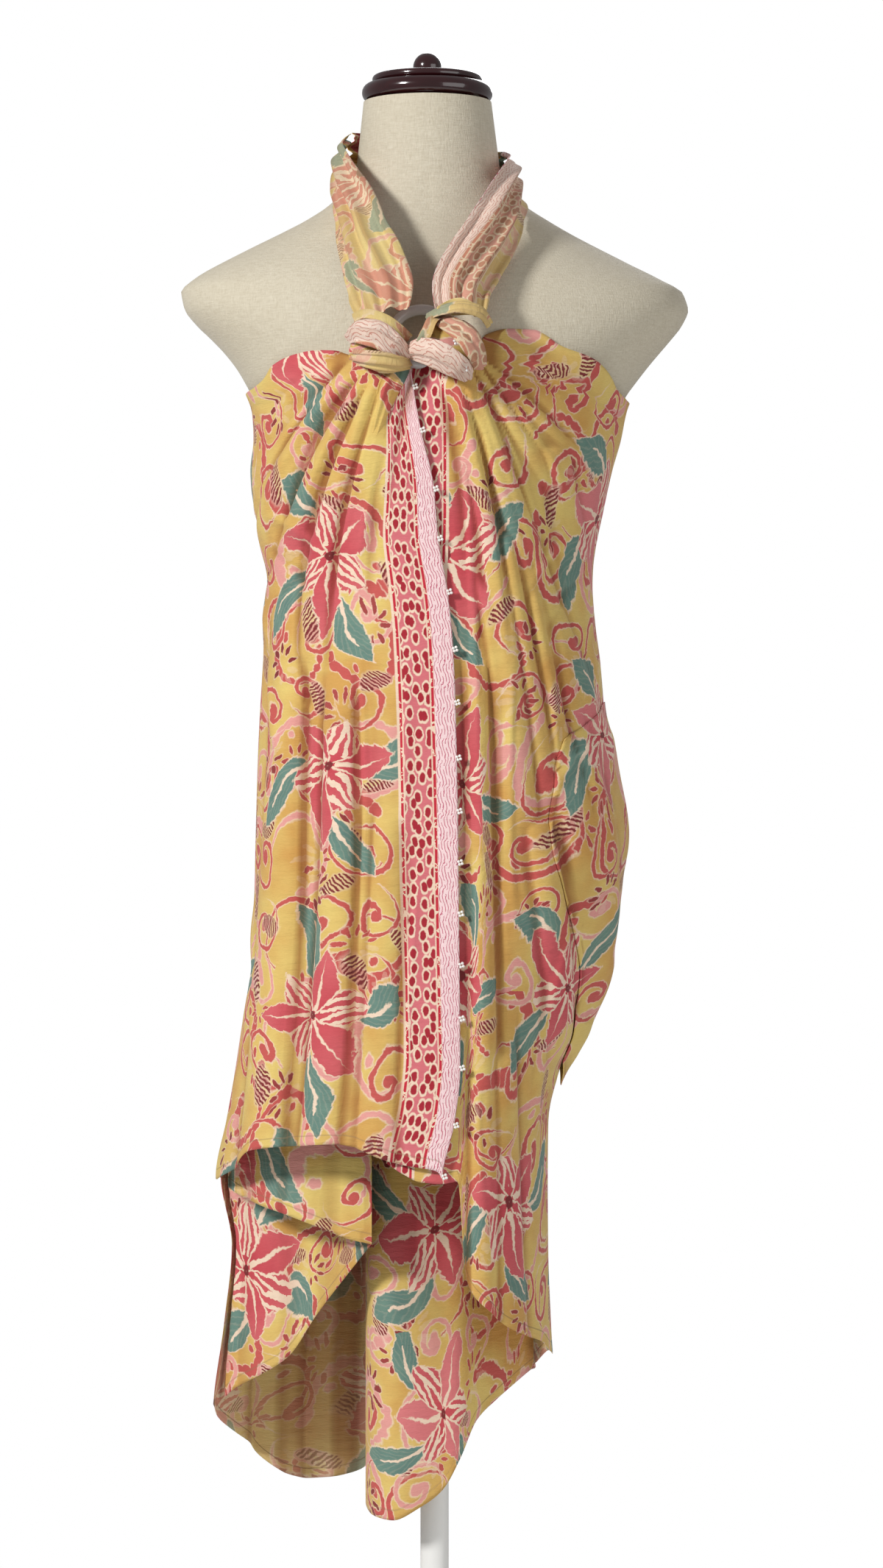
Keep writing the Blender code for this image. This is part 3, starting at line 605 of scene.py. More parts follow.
def addBorder(finish, fromEdge, along, shake, ground):
    # wavy stripes at the very edge, then ringed dots between two dashed lines
    wavy = printSizes["wavyBand"]
    dotted = printSizes["dottedBand"]
    sway = (along * (math.tau / 0.0190) + shake * 3.0).sine() * 0.0011
    phase = (fromEdge + sway + shake * 0.0012) * (1.0 / 0.0023)
    line = 0.12 - abs(phase.fraction() - 0.5)
    broken = ((along * 43.0 + phase.whole() * 2.7).fraction() < 0.88)
    waves = finish.blend(line.inked(0.12) * broken, inks["waveGround"], inks["waveLine"])
    spot = finish.wire("ShaderNodeCombineXYZ", {}, {0: fromEdge * 1.25 + shake * 0.003, 1: along * 0.72})
    sockets = {"Vector": spot, "Scale": 1.0 / printSizes["dotSpacing"], "Randomness": 0.72}
    gap = finish.wire("ShaderNodeTexVoronoi", {"voronoi_dimensions": "2D"}, sockets, "Distance")
    dots = finish.blend((0.50 - gap).inked(0.08), inks["bandPink"], inks["resist"])
    dots = finish.blend((0.33 - gap).inked(0.08), dots, inks["bandRed"])
    dash = (along * 58.0 + shake * 1.5).fraction() < 0.80
    nearLine = abs(fromEdge - wavy - 0.0014).least(abs(fromEdge - dotted + 0.0014))
    dots = finish.blend((0.0021 - nearLine).inked(), dots, inks["resist"])
    dots = finish.blend((0.0011 - nearLine).inked() * dash, dots, inks["bandLine"])
    ground = finish.blend((dotted + 0.0018 - fromEdge).inked(), ground, inks["resist"])
    ground = finish.blend((dotted - fromEdge).inked(), ground, dots)
    return finish.blend((wavy - fromEdge).inked(), ground, waves)


def clothFinish(name, wash):
    # printed cotton: the print on its own map, washed towards the bare cloth on its reverse
    finish = Finish(name, Roughness=0.82, Sheen_Weight=0.12, Sheen_Roughness=0.5)
    place = finish.mapped("print")
    fromEdge, fromHem, rest = finish.mapped("edge").parts()
    printX, along, rest = place.parts()
    drift = finish.noise(place, 10.0, 1.0, output="Color")
    shakes = finish.noise(place, 210.0, 2.0, output="Color")
    shake = shakes.parts()[0] - 0.5
    sway = finish.noise(place, 34.0, 1.0, output="Color")
    bent = place + (drift - (0.5, 0.5, 0.5)) * (0.044, 0.044, 0.0) + (sway - (0.5, 0.5, 0.5)) * (0.009, 0.009, 0.0)
    bent = bent + (shakes - (0.5, 0.5, 0.5)) * (0.0030, 0.0030, 0.0)
    blotch = finish.noise(place, 38.0, 3.0, 0.6)
    patches = (finish.noise(place, 11.0, 3.0, 0.6) - 0.36) * 3.4
    lilies = motifCell(finish, bent, printSizes["lilySpacing"], 0.26, (3.131, 2.077))
    vines = motifCell(finish, bent, printSizes["vineSpacing"], 0.34, (5.340, 4.110))
    curls = motifCell(finish, bent, printSizes["curlSpacing"], 0.38, (7.730, 1.920))
    combs = motifCell(finish, bent, printSizes["combSpacing"], 0.9, (2.260, 6.550))
    buds = motifCell(finish, bent, printSizes["budSpacing"], 0.9, (9.410, 3.350))
    colour = finish.blend(patches.maths("MAXIMUM", patches, 0.0).least(1.0), inks["yellow"], inks["ochre"])
    colour = addStems(finish, vines, colour)
    colour = addCurls(finish, curls, colour)
    colour = addBuds(finish, buds, colour)
    colour = addCombs(finish, combs, colour)
    colour = addLeaves(finish, lilies, colour, blotch)
    colour = addLilies(finish, lilies, colour, blotch)
    colour = addBorder(finish, fromEdge, along, shake, colour)
    if wash > 0.0:
        colour = finish.blend(wash, colour, inks["reverse"])
    # painted shade: the colour is darkened where the cloth lies in a fold, so the crests stay paler
    hollow = finish.wire("ShaderNodeAttribute", {"attribute_name": "hollow"}, {}, "Fac")
    # how strongly the painted fold shade darkens the colour here
    deep = hollow * 1.9 - 0.95
    deep = deep.maths("MULTIPLY", deep, 0.9, clamp=True)
    colour = finish.blend(deep, colour, (0.44, 0.25, 0.13, 1.0), "MULTIPLY")
    threads = finish.noise(place * (260.0, 1500.0, 1.0), 1.0, 2.0, 0.6)
    colour = finish.blend(threads * 0.30, colour, (0.62, 0.55, 0.42, 1.0), "MULTIPLY")
    # painted shade: a dark line along the turned hem's edge, where the doubled cloth folds under
    hemEdgeShade = 0.0006 - abs(fromHem - 0.0078)
    colour = finish.blend(hemEdgeShade.inked() * 0.35, colour, (0.25, 0.16, 0.08, 1.0))
    finish.feed("Base Color", colour)
    crinkle = finish.noise(place * (34.0, 150.0, 1.0), 1.0, 3.0, 0.55)
    turnedHem = (0.0078 - fromHem).inked(0.0008) * 0.5
    finish.relief(crinkle + threads * 0.22 + turnedHem, 0.55, 0.0022)
    return finish


sarongFace = clothFinish("sarong_print", 0.0)
sarongBack = clothFinish("sarong_reverse", 0.42)
bothSides = [sarongFace, sarongBack]
print("cloth finishes made:", len(sarongFace.tree.nodes), "nodes each")


def linenFinish():
    finish = Finish("form_linen", Roughness=0.9, Sheen_Weight=0.15)
    place = finish.objectPlace()
    warp = finish.noise(place * (900.0, 900.0, 160.0), 1.0, 2.0, 0.6, flat=False)
    weft = finish.noise(place * (140.0, 140.0, 1100.0), 1.0, 2.0, 0.6, flat=False)
    tone = finish.noise(place, 9.0, 2.0, 0.5, flat=False)
    weave = warp * 0.5 + weft * 0.5
    colour = finish.blend(tone, paint(216, 208, 188), paint(200, 190, 168))
    colour = finish.blend(((weave - 0.5) * 3.0 + 0.5).least(1.0).most(0.0) * 0.6, colour, paint(178, 166, 142))
    finish.feed("Base Color", colour)
    finish.relief(weave, 0.6, 0.0012)
    return finish


def woodFinish():
    finish = Finish("cap_lacquer", Roughness=0.16, Coat_Weight=0.7, Coat_Roughness=0.05)
    place = finish.objectPlace()
    grain = finish.noise(place * (18.0, 180.0, 120.0), 1.0, 4.0, 0.6, flat=False)
    finish.feed("Base Color", finish.blend(grain, paint(58, 18, 20), paint(26, 6, 9)))
    finish.feed("Roughness", grain * 0.08 + 0.13)
    finish.relief(grain, 0.05, 0.0004)
    return finish


def standFinish():
    finish = Finish("stand_satin", Roughness=0.4, Metallic=0.0)
    place = finish.objectPlace()
    cast = finish.noise(place, 420.0, 3.0, 0.6, flat=False)
    tone = finish.noise(place, 14.0, 3.0, 0.5, flat=False)
    finish.feed("Base Color", finish.blend(tone, paint(236, 235, 232), paint(224, 223, 219)))
    finish.feed("Roughness", cast * 0.12 + 0.34)
    finish.relief(cast, 0.12, 0.0006)
    return finish


def resinFinish():
    finish = Finish("ring_clear", Roughness=0.06, Transmission_Weight=0.22, IOR=1.46, Coat_Weight=0.6)
    place = finish.objectPlace()
    haze = finish.noise(place, 240.0, 2.0, 0.5, flat=False)
    finish.feed("Base Color", finish.blend(haze, paint(250, 250, 247), paint(240, 241, 238)))
    finish.feed("Roughness", haze * 0.05 + 0.03)
    return finish


def pearlFinish():
    finish = Finish("bead_pearl", Roughness=0.22, Coat_Weight=0.6)
    place = finish.objectPlace()
    lustre = finish.noise(place, 330.0, 2.0, 0.5, flat=False)
    finish.feed("Base Color", finish.blend(lustre, paint(250, 248, 244), paint(226, 222, 214)))
    finish.feed("Roughness", lustre * 0.2 + 0.14)
    return finish


formLinen = linenFinish()
capLacquer = woodFinish()
standSatin = standFinish()
ringClear = resinFinish()
beadPearl = pearlFinish()
print("other finishes made")


def give(piece, finish):
    piece.data.materials.clear()
    piece.data.materials.append(finish.material)


def settle(piece, name, nodes=()):
    # the piece's place goes into its mesh, and it is named and rides
    clearSelection()
    piece.select_set(True)
    bpy.context.view_layer.objects.active = piece
    bpy.ops.object.transform_apply(location=True, rotation=True, scale=True)
    piece.name = name
    piece.data.name = name
    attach(piece, "root")
    if nodes:
        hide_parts(*nodes)
    return piece


# dress form ----------------------------------------------------------------
formShape = {
    "sides": 96,
    "rows": 150,
    "sections": [
        (1.5215, 0.0498, -0.0055, 0.050, 0.050), (1.4871, 0.0527, -0.0055, 0.051, 0.053),
        (1.4600, 0.0590, -0.0055, 0.054, 0.062), (1.4410, 0.0760, -0.0060, 0.059, 0.072),
        (1.4294, 0.0934, -0.0060, 0.063, 0.078), (1.4180, 0.1140, -0.0072, 0.069, 0.084),
        (1.4065, 0.1367, -0.0080, 0.075, 0.090), (1.3951, 0.1590, -0.0080, 0.083, 0.096),
        (1.3836, 0.1805, -0.0064, 0.091, 0.101), (1.3722, 0.1954, -0.0020, 0.098, 0.105),
        (1.3607, 0.1962, 0.0012, 0.104, 0.107), (1.3492, 0.1902, 0.0036, 0.109, 0.108),
        (1.3378, 0.1800, 0.0052, 0.114, 0.108), (1.3263, 0.1696, 0.0058, 0.118, 0.108),
        (1.3149, 0.1604, 0.0055, 0.122, 0.107), (1.3034, 0.1525, 0.0045, 0.126, 0.106),
        (1.2919, 0.1455, 0.0034, 0.129, 0.1062), (1.2805, 0.1410, 0.0030, 0.131, 0.1042),
        (1.2576, 0.1375, 0.0012, 0.133, 0.1012), (1.2347, 0.1350, -0.0026, 0.129, 0.0960),
        (1.2003, 0.1300, -0.0046, 0.117, 0.087), (1.1659, 0.1220, -0.0038, 0.104, 0.080),
        (1.1430, 0.1205, -0.0040, 0.099, 0.079), (1.1000, 0.1215, -0.0030, 0.098, 0.083),
        (1.0300, 0.1245, -0.0010, 0.100, 0.092), (0.9600, 0.1280, 0.0010, 0.100, 0.100),
        (0.9300, 0.1270, 0.0010, 0.097, 0.098), (0.9210, 0.1200, 0.0010, 0.090, 0.091),
    ],
}
formHalf, formShift, formFront, formBack = [smoothTable(formShape["sections"], column) for column in (1, 2, 3, 4)]


def clearOfForm(points, gap):
    x, y, z = points[..., 0], points[..., 1], points[..., 2]
    shift = formShift(z)
    depth = np.where(y < 0.0, formFront(z), formBack(z))
    inside = np.sqrt(((x - shift) / (formHalf(z) + gap)) ** 2 + (y / (depth + gap)) ** 2)
    push = np.where((inside < 1.0) & (inside > 0.0), 1.0 / np.maximum(inside, 0.001), 1.0)
    return np.stack((shift + (x - shift) * push, y * push, z), -1)


def insideWrap(points, gap):
    x, y, z = points[..., 0], points[..., 1], points[..., 2]
    side = np.where(x > 0.0, reachRight(z), reachLeft(z))
    depth = np.where(y < 0.0, reachFront(z), reachBack(z))
    reach = np.sqrt((x / (side - gap)) ** 2 + (y / (depth - gap)) ** 2)
    pull = np.where(reach > 1.0, 1.0 / np.maximum(reach, 0.001), 1.0)
    return np.stack((x * pull, y * pull, z), -1)


def makeForm():
    clearSelection()
    sides = formShape["sides"]
    rows = formShape["rows"]
    bpy.ops.mesh.primitive_grid_add(x_subdivisions=sides, y_subdivisions=rows, size=1.0)
    body = bpy.context.object
    flat = np.empty(len(body.data.vertices) * 3)
    body.data.vertices.foreach_get("co", flat)
    flat = flat.reshape(-1, 3)
    angle = (flat[:, 0] + 0.5) * math.tau
    z = 0.9210 + (1.5215 - 0.9210) * (flat[:, 1] + 0.5)
    depth = np.where(np.cos(angle) > 0.0, formFront(z), formBack(z))
    # sewn seams sink a little: centre front, centre back and the two sides
    sunk = np.zeros_like(angle)
    for seam in (0.0, math.pi, math.tau, 0.5 * math.pi, 1.5 * math.pi):
        sunk += 0.0006 * ridge((angle - seam) / 0.035)
    x = formShift(z) + (formHalf(z) - sunk) * np.sin(angle)
    y = -(depth - sunk) * np.cos(angle)
    body.data.vertices.foreach_set("co", np.stack((x, y, z), -1).ravel())
    bpy.ops.object.mode_set(mode="EDIT")
    bpy.ops.mesh.select_all(action="SELECT")
    bpy.ops.mesh.remove_doubles(threshold=0.00002)
    bpy.ops.mesh.select_all(action="DESELECT")
    bpy.ops.mesh.select_mode(type="EDGE")
    bpy.ops.mesh.select_non_manifold()
    bpy.ops.mesh.fill()
    bpy.ops.mesh.select_all(action="SELECT")
    bpy.ops.mesh.normals_make_consistent(inside=False)
    bpy.ops.object.mode_set(mode="OBJECT")
    bpy.ops.object.shade_smooth_by_angle(angle=math.radians(50.0))
    give(body, formLinen)
    return settle(body, "form_cover", ["form_body"])


makeForm()
print("dress form made")


# cap, knob, pole and base ----------------------------------------------------
turnedParts = {
    "cap_disc_low": ((0.0510, 1.5218, 1.5360), 0.0069, "cap_lower"),
    "cap_disc_high": ((0.0430, 1.5363, 1.5424), 0.0029, "cap_upper"),
}


def makeDisc(name, shape, rounding, node):
    radius, bottom, top = shape
    clearSelection()
    bpy.ops.mesh.primitive_cylinder_add(
        vertices=96, radius=radius, depth=top - bottom,
        location=(-0.0055, 0.0, 0.5 * (top + bottom)))
    disc = bpy.context.object
    bevel = disc.modifiers.new("round", "BEVEL")
    bevel.width = rounding
    bevel.segments = 8
    bevel.limit_method = "ANGLE"
    bpy.ops.object.modifier_apply(modifier="round")
    bpy.ops.object.shade_smooth_by_angle(angle=math.radians(40.0))
    give(disc, capLacquer)
    return settle(disc, name, [node])


for discName, (discShape, discRounding, discNode) in turnedParts.items():
    makeDisc(discName, discShape, discRounding, discNode)


def makeKnob():
    clearSelection()
    bpy.ops.mesh.primitive_uv_sphere_add(
        segments=48, ring_count=28, radius=0.0112, location=(-0.0055, 0.0, 1.5603 - 0.0112))
    knob = bpy.context.object
    bpy.ops.object.transform_apply(location=True, rotation=True, scale=True)
    for vertex in knob.data.vertices:
        # the ball's foot spreads into a short neck and stands on the upper disc
        if vertex.co.z < 1.5440:
            share = (1.5440 - vertex.co.z) / (1.5440 - 1.5379)
            vertex.co.z = 1.5440 - min(1.0, share) * 0.0013
            away = Vector((vertex.co.x + 0.0055, vertex.co.y))
            if away.length > 0.0062 - 0.006 * share:
                away = away.normalized() * max(away.length, 0.0086 * min(1.0, share + 0.6) if share < 0.75 else away.length)
            vertex.co.x = away.x - 0.0055
            vertex.co.y = away.y
    bpy.ops.object.shade_smooth()
    give(knob, capLacquer)
    return settle(knob, "cap_ball", ["cap_knob"])


makeKnob()

standShape = {"poleRadius": 0.0110, "poleTop": 0.9207, "poleFoot": 0.0283, "baseRadius": 0.1650}


def makeStand():
    clearSelection()
    middle = 0.5 * (standShape["poleTop"] + standShape["poleFoot"])
    bpy.ops.mesh.primitive_cylinder_add(
        vertices=64, radius=standShape["poleRadius"], depth=standShape["poleTop"] - standShape["poleFoot"],
        location=(0.0, 0.0, middle))
    pole = bpy.context.object
    bevel = pole.modifiers.new("edge", "BEVEL")
    bevel.width = 0.0008
    bevel.segments = 3
    bpy.ops.object.modifier_apply(modifier="edge")
    bpy.ops.object.shade_smooth_by_angle(angle=math.radians(40.0))
    give(pole, standSatin)
    settle(pole, "stand_pole", ["form_pole"])
    clearSelection()
    bpy.ops.mesh.primitive_cylinder_add(
        vertices=128, radius=standShape["baseRadius"], depth=0.0060, location=(0.0, 0.0, 0.0030))
    base = bpy.context.object
    bpy.ops.object.mode_set(mode="EDIT")
    bpy.ops.mesh.select_all(action="DESELECT")
    bpy.ops.object.mode_set(mode="OBJECT")
    for face in base.data.polygons:
        face.select = face.normal.z > 0.9
    bpy.ops.object.mode_set(mode="EDIT")
    # the top face is drawn in and up, ring by ring, to a low dome and the pole's collar
    for share, rise in ((0.9636, 0.0060), (0.3774, 0.0040), (0.6000, 0.0060), (0.8333, 0.0060)):
        bpy.ops.mesh.extrude_region_move(TRANSFORM_OT_translate={"value": (0.0, 0.0, rise)})
        bpy.ops.transform.resize(value=(share, share, 1.0), center_override=(0.0, 0.0, 0.0))
    bpy.ops.object.mode_set(mode="OBJECT")
    bevel = base.modifiers.new("edge", "BEVEL")
    bevel.width = 0.0012
    bevel.segments = 3
    bevel.limit_method = "ANGLE"
    bpy.ops.object.modifier_apply(modifier="edge")
    bpy.ops.object.shade_smooth_by_angle(angle=math.radians(30.0))
    give(base, standSatin)
    settle(base, "stand_base", ["form_base"])


makeStand()
print("cap and stand made")

# wound cloth -----------------------------------------------------------------
edges = {
    "bead": [
        (1.3200, -0.0175), (1.2890, -0.0150), (1.2550, -0.0095), (1.2127, -0.0001),
        (1.1748, 0.0030), (1.1347, 0.0098), (1.0935, 0.0136), (1.0528, 0.0153),
        (0.9336, 0.0175), (0.7792, 0.0186), (0.7375, 0.0142), (0.6957, 0.0059),
    ],
    "under": [
        (1.3200, -0.0250), (1.2800, -0.0230), (1.2000, -0.0210), (1.0000, -0.0240),
        (0.8000, -0.0320), (0.6900, -0.0360),
    ],
    # where the under end's printed border would begin
    "underPrint": [
        (1.3100, -0.0310), (1.2800, -0.0350), (1.2000, -0.0350), (1.1300, -0.0370),
        (1.0000, -0.0440), (0.8000, -0.0500), (0.6900, -0.0580),
    ],
    "overTop": [
        (-0.1900, 1.2900), (-0.1410, 1.2943), (-0.1235, 1.3094), (-0.1067, 1.3155),
        (-0.0883, 1.3180), (-0.0728, 1.3170), (-0.0640, 1.3140), (-0.0560, 1.3120),
        (-0.0460, 1.3115), (-0.0360, 1.3110), (-0.0150, 1.3100), (0.0, 1.3090),
    ],
    "overHem": [
        (-0.1800, 0.6800), (-0.1600, 0.6836), (-0.1445, 0.6836), (-0.1332, 0.6863),
        (-0.1200, 0.6913), (-0.1030, 0.7017), (-0.0914, 0.7133), (-0.0720, 0.7188),
        (-0.0520, 0.7199), (-0.0400, 0.7182), (-0.0200, 0.7094), (0.0020, 0.7010), (0.0070, 0.6945),
    ],
    "underTop": [
        (-0.0100, 1.3080), (0.0100, 1.3100), (0.0280, 1.3160), (0.0390, 1.3290),
        (0.0573, 1.3338), (0.0758, 1.3335), (0.0842, 1.3300), (0.0973, 1.3216),
        (0.1205, 1.3135), (0.1390, 1.3000), (0.1459, 1.2928), (0.1530, 1.2850),
    ],
    "underHem": [
        (-0.0400, 0.7080), (-0.0249, 0.6998), (-0.0110, 0.6932), (0.0054, 0.6920),
        (0.0170, 0.6937), (0.0215, 0.6500), (0.0250, 0.6180), (0.0300, 0.6050),
        (0.0400, 0.5940), (0.0529, 0.5806), (0.0800, 0.5640), (0.0900, 0.5480),
    ],
    "backTop": [(100.0, 1.2850), (140.0, 1.2950), (180.0, 1.3000), (220.0, 1.2960), (260.0, 1.2900)],
    "backHem": [
        (100.0, 0.5472), (135.0, 0.5230), (160.0, 0.5350), (180.0, 0.5150), (192.0, 0.4560),
        (200.0, 0.4390), (212.0, 0.4341), (222.0, 0.4400), (233.0, 0.4637), (245.0, 0.4813),
        (256.0, 0.4960), (260.0, 0.5050),
    ],
}
edgeAt = {name: smoothTable(rows) for name, rows in edges.items()}
borderPulledIn = smoothTable([(1.0, 1.0), (1.14, 1.02), (1.2166, 1.25), (1.2633, 1.80), (1.30, 2.1)])

overEnd = {
    "grid": (136, 220),
    "folds": [
        (1.310, 1.200, -0.056, -0.100, -0.134, 0.0048, 0.0110, 0.0042, 0.2),
        (1.308, 1.150, -0.046, -0.1135, -0.121, 0.0056, 0.0150, 0.0088, 0.3),
        (1.304, 1.190, -0.043, -0.100, -0.116, 0.0042, 0.0080, 0.0042, 0.2),
        (1.304, 1.090, -0.040, -0.100, -0.126, 0.0054, 0.0150, 0.0102, 0.35),
        (1.303, 1.150, -0.037, -0.078, -0.103, 0.0042, 0.0085, 0.0046, 0.2),
        (1.302, 1.060, -0.033, -0.080, -0.096, 0.0054, 0.0150, 0.0112, 0.3),
        (1.301, 1.160, -0.030, -0.056, -0.076, 0.0040, 0.0080, 0.0046, 0.2),
        (1.302, 1.120, -0.026, -0.051, -0.061, 0.0052, 0.0130, 0.0084, 0.2),
        (1.300, 1.190, -0.020, -0.033, -0.040, 0.0040, 0.0075, 0.0040, 0.2),
        (1.160, 0.690, -0.112, -0.116, -0.134, 0.0120, 0.0190, 0.0098, 1.0),
        (1.080, 0.700, -0.070, -0.074, -0.088, 0.0110, 0.0160, 0.0074, 1.0),
        (0.980, 0.700, -0.034, -0.038, -0.044, 0.0100, 0.0150, 0.0054, 1.0),
    ],
    "creases": [
        (-0.0600, 1.3000, -0.1280, 1.2350, 0.0060, 0.0050, 0.0024),
        (-0.0520, 1.2960, -0.1230, 1.2000, 0.0080, 0.0042, -0.0016),
        (-0.0480, 1.2900, -0.1050, 1.1560, 0.0070, 0.0048, 0.0026),
        (-0.0420, 1.2900, -0.0900, 1.1300, 0.0060, 0.0040, -0.0018),
        (-0.0360, 1.2880, -0.0760, 1.1000, 0.0040, 0.0046, 0.0022),
        (-0.0300, 1.2700, -0.0560, 1.1400, 0.0020, 0.0038, 0.0016),
        (-0.0700, 1.3080, -0.1260, 1.2700, 0.0040, 0.0046, 0.0020),
        (-0.1320, 1.2000, -0.0760, 1.1560, -0.0060, 0.0060, 0.0018),
        (-0.1300, 1.1760, -0.0880, 1.1240, -0.0050, 0.0055, -0.0012),
        (-0.1280, 1.1380, -0.1010, 0.9800, 0.0060, 0.0052, 0.0022),
        (-0.0940, 1.1000, -0.0980, 0.8600, 0.0040, 0.0046, -0.0016),
        (-0.0560, 1.1200, -0.0540, 0.8700, -0.0050, 0.0052, 0.0020),
        (-0.0480, 1.0200, -0.0620, 0.7600, 0.0030, 0.0044, -0.0014),
        (-0.0180, 1.1000, -0.0200, 0.8000, 0.0030, 0.0050, 0.0014),
        (-0.1440, 0.9200, -0.1180, 0.7400, 0.0050, 0.0058, 0.0022),
        (-0.1050, 0.8600, -0.1120, 0.6900, 0.0030, 0.0048, -0.0016),
        (-0.1180, 1.0600, -0.0700, 1.0200, -0.0050, 0.0060, 0.0010),
        (-0.0100, 0.9400, -0.0240, 0.7000, 0.0020, 0.0046, 0.0012),
    ],
    "flat": (0.330, 0.625),
}


def overPlace(u, v):
    z = np.full_like(u, 1.0)
    xHem = -0.170 + 0.1760 * u ** 0.8
    for _ in range(4):
        end = turnAt(edgeAt["bead"](z), z)
        turn = -100.0 + (end + 100.0) * u ** 0.8
        x = wrapped(turn, z)[..., 0]
        top = np.where(turn > -90.0, edgeAt["overTop"](x), 1.2900)
        hem = edgeAt["overHem"](xHem)
        z = top + (hem - top) * v
    out = 0.0040 * ease((u - 0.35) / 0.35) + 0.0004
    rise = foldsAt(overEnd["folds"], x, z) + gatheredAt(x, z) + creasesAt(overEnd["creases"], x, z)
    fade = ease((turn + 100.0) / 14.0)
    points = wrapped(turn, z, out)
    rise = rise + 0.0026 * unevenness(points, 16.0, 5.0, 3.1)
    points = points + outwardAt(turn) * (rise * fade)[..., None]
    # the hem ripples a little towards its edge
    points[..., 2] += 0.0012 * np.sin(70.0 * x) * ease((v - 0.9) / 0.1)
    fromEdge = lengthsAlong(points[:, ::-1], 1)[:, ::-1]
    fromHem = lengthsAlong(points[::-1], 0)[::-1]
    printMap = np.stack((fromEdge, z), -1)
    return points, printMap, np.stack((fromEdge * borderPulledIn(z), fromHem), -1)


def evenGrid(across, down):
    v, u = np.meshgrid(np.arange(down + 1) / down, np.arange(across + 1) / across, indexing="ij")
    return u, v


overMap = overPlace(*evenGrid(92, 200))


def overPrintAt(turn, z):
    # how far along the over end's print a place on the front lies
    end = turnAt(edgeAt["bead"](z), z)
    u = np.clip((turn + 100.0) / (end + 100.0), 0.0, 1.0) ** 1.25
    top = edgeAt["overTop"](wrapped(turn, z)[..., 0])
    hem = edgeAt["overHem"](-0.170 + 0.1760 * u ** 0.8)
    return gridRead(overMap[1][..., 0], u, (top - z) / (top - hem))


underEnd = {
    "grid": (136, 240),
    "folds": [
        (1.304, 0.930, 0.012, 0.050, 0.066, 0.0054, 0.0150, 0.0112, 0.35),
        (1.303, 1.060, 0.018, 0.060, 0.098, 0.0052, 0.0130, 0.0092, 0.3),
        (1.302, 1.000, 0.024, 0.078, 0.132, 0.0050, 0.0150, 0.0086, 0.25),
        (1.298, 1.150, 0.008, 0.024, 0.032, 0.0042, 0.0080, 0.0050, 0.3),
        (1.305, 1.180, 0.021, 0.048, 0.066, 0.0042, 0.0080, 0.0048, 0.2),
        (1.308, 1.200, 0.027, 0.064, 0.102, 0.0042, 0.0090, 0.0044, 0.2),
        (1.311, 1.230, 0.032, 0.076, 0.122, 0.0042, 0.0090, 0.0036, 0.2),
        (1.250, 1.110, 0.092, 0.104, 0.121, 0.0110, 0.0130, 0.0050, 0.2),
        (1.190, 0.960, 0.050, 0.070, 0.090, 0.0070, 0.0110, 0.0074, 0.4),
        (1.150, 0.930, 0.070, 0.092, 0.112, 0.0060, 0.0100, 0.0070, 0.3),
        (1.130, 0.900, 0.088, 0.112, 0.128, 0.0060, 0.0090, 0.0056, 0.3),
        (1.150, 0.940, 0.036, 0.052, 0.060, 0.0070, 0.0100, 0.0050, 0.4),
        (1.100, 0.700, 0.030, 0.034, 0.038, 0.0100, 0.0120, 0.0066, 1.0),
        (0.970, 0.770, 0.074, 0.092, 0.098, 0.0120, 0.0120, 0.0062, 0.6),
        (0.800, 0.570, 0.052, 0.054, 0.058, 0.0120, 0.0140, 0.0066, 1.0),
    ],
    "creases": [
        (0.0240, 1.2950, 0.0560, 1.0600, -0.0060, 0.0042, -0.0018),
        (0.0300, 1.2950, 0.0880, 1.1400, -0.0070, 0.0046, 0.0024),
        (0.0380, 1.3020, 0.1080, 1.1900, -0.0060, 0.0042, 0.0022),
        (0.0420, 1.3060, 0.1220, 1.2300, -0.0050, 0.0046, -0.0016),
        (0.0500, 1.3140, 0.1340, 1.2700, -0.0040, 0.0048, 0.0022),
        (0.0180, 1.2700, 0.0300, 1.0400, -0.0030, 0.0040, 0.0016),
        (0.1180, 1.1900, 0.0640, 1.1300, 0.0050, 0.0058, 0.0016),
        (0.1200, 1.1600, 0.0800, 1.0900, 0.0050, 0.0052, -0.0012),
        (0.0560, 1.0900, 0.0640, 0.8600, 0.0050, 0.0050, 0.0022),
        (0.0860, 1.0800, 0.1080, 0.9000, 0.0040, 0.0052, 0.0020),
        (0.0460, 0.9600, 0.0480, 0.7300, -0.0040, 0.0044, -0.0014),
        (0.1040, 0.9000, 0.0760, 0.7000, 0.0060, 0.0054, 0.0022),
        (0.0640, 0.8400, 0.0700, 0.6000, 0.0030, 0.0046, -0.0014),
        (0.0300, 0.8600, 0.0360, 0.6300, 0.0030, 0.0044, 0.0016),
        (0.1260, 1.0300, 0.0800, 0.9700, 0.0060, 0.0060, 0.0014),
        (0.0340, 1.1600, 0.0300, 0.9800, 0.0030, 0.0044, 0.0012),
    ],
    "flat": (0.290, 0.700),
}


def underTurn(share, z):
    start = turnAt(edgeAt["under"](z), z)
    return start + (100.0 - start) * share


def underRise(turn, x, z):
    shownHere = ease((x - edgeAt["bead"](z) - 0.004) / 0.012)
    fine = creasesAt(underEnd["creases"], x, z) + 0.0024 * unevenness(wrapped(turn, z), 16.0, 5.0, 8.4)
    rise = (foldsAt(underEnd["folds"], x, z) + fine) * shownHere + gatheredAt(x, z)
    return rise * ease((100.0 - turn) / 14.0)


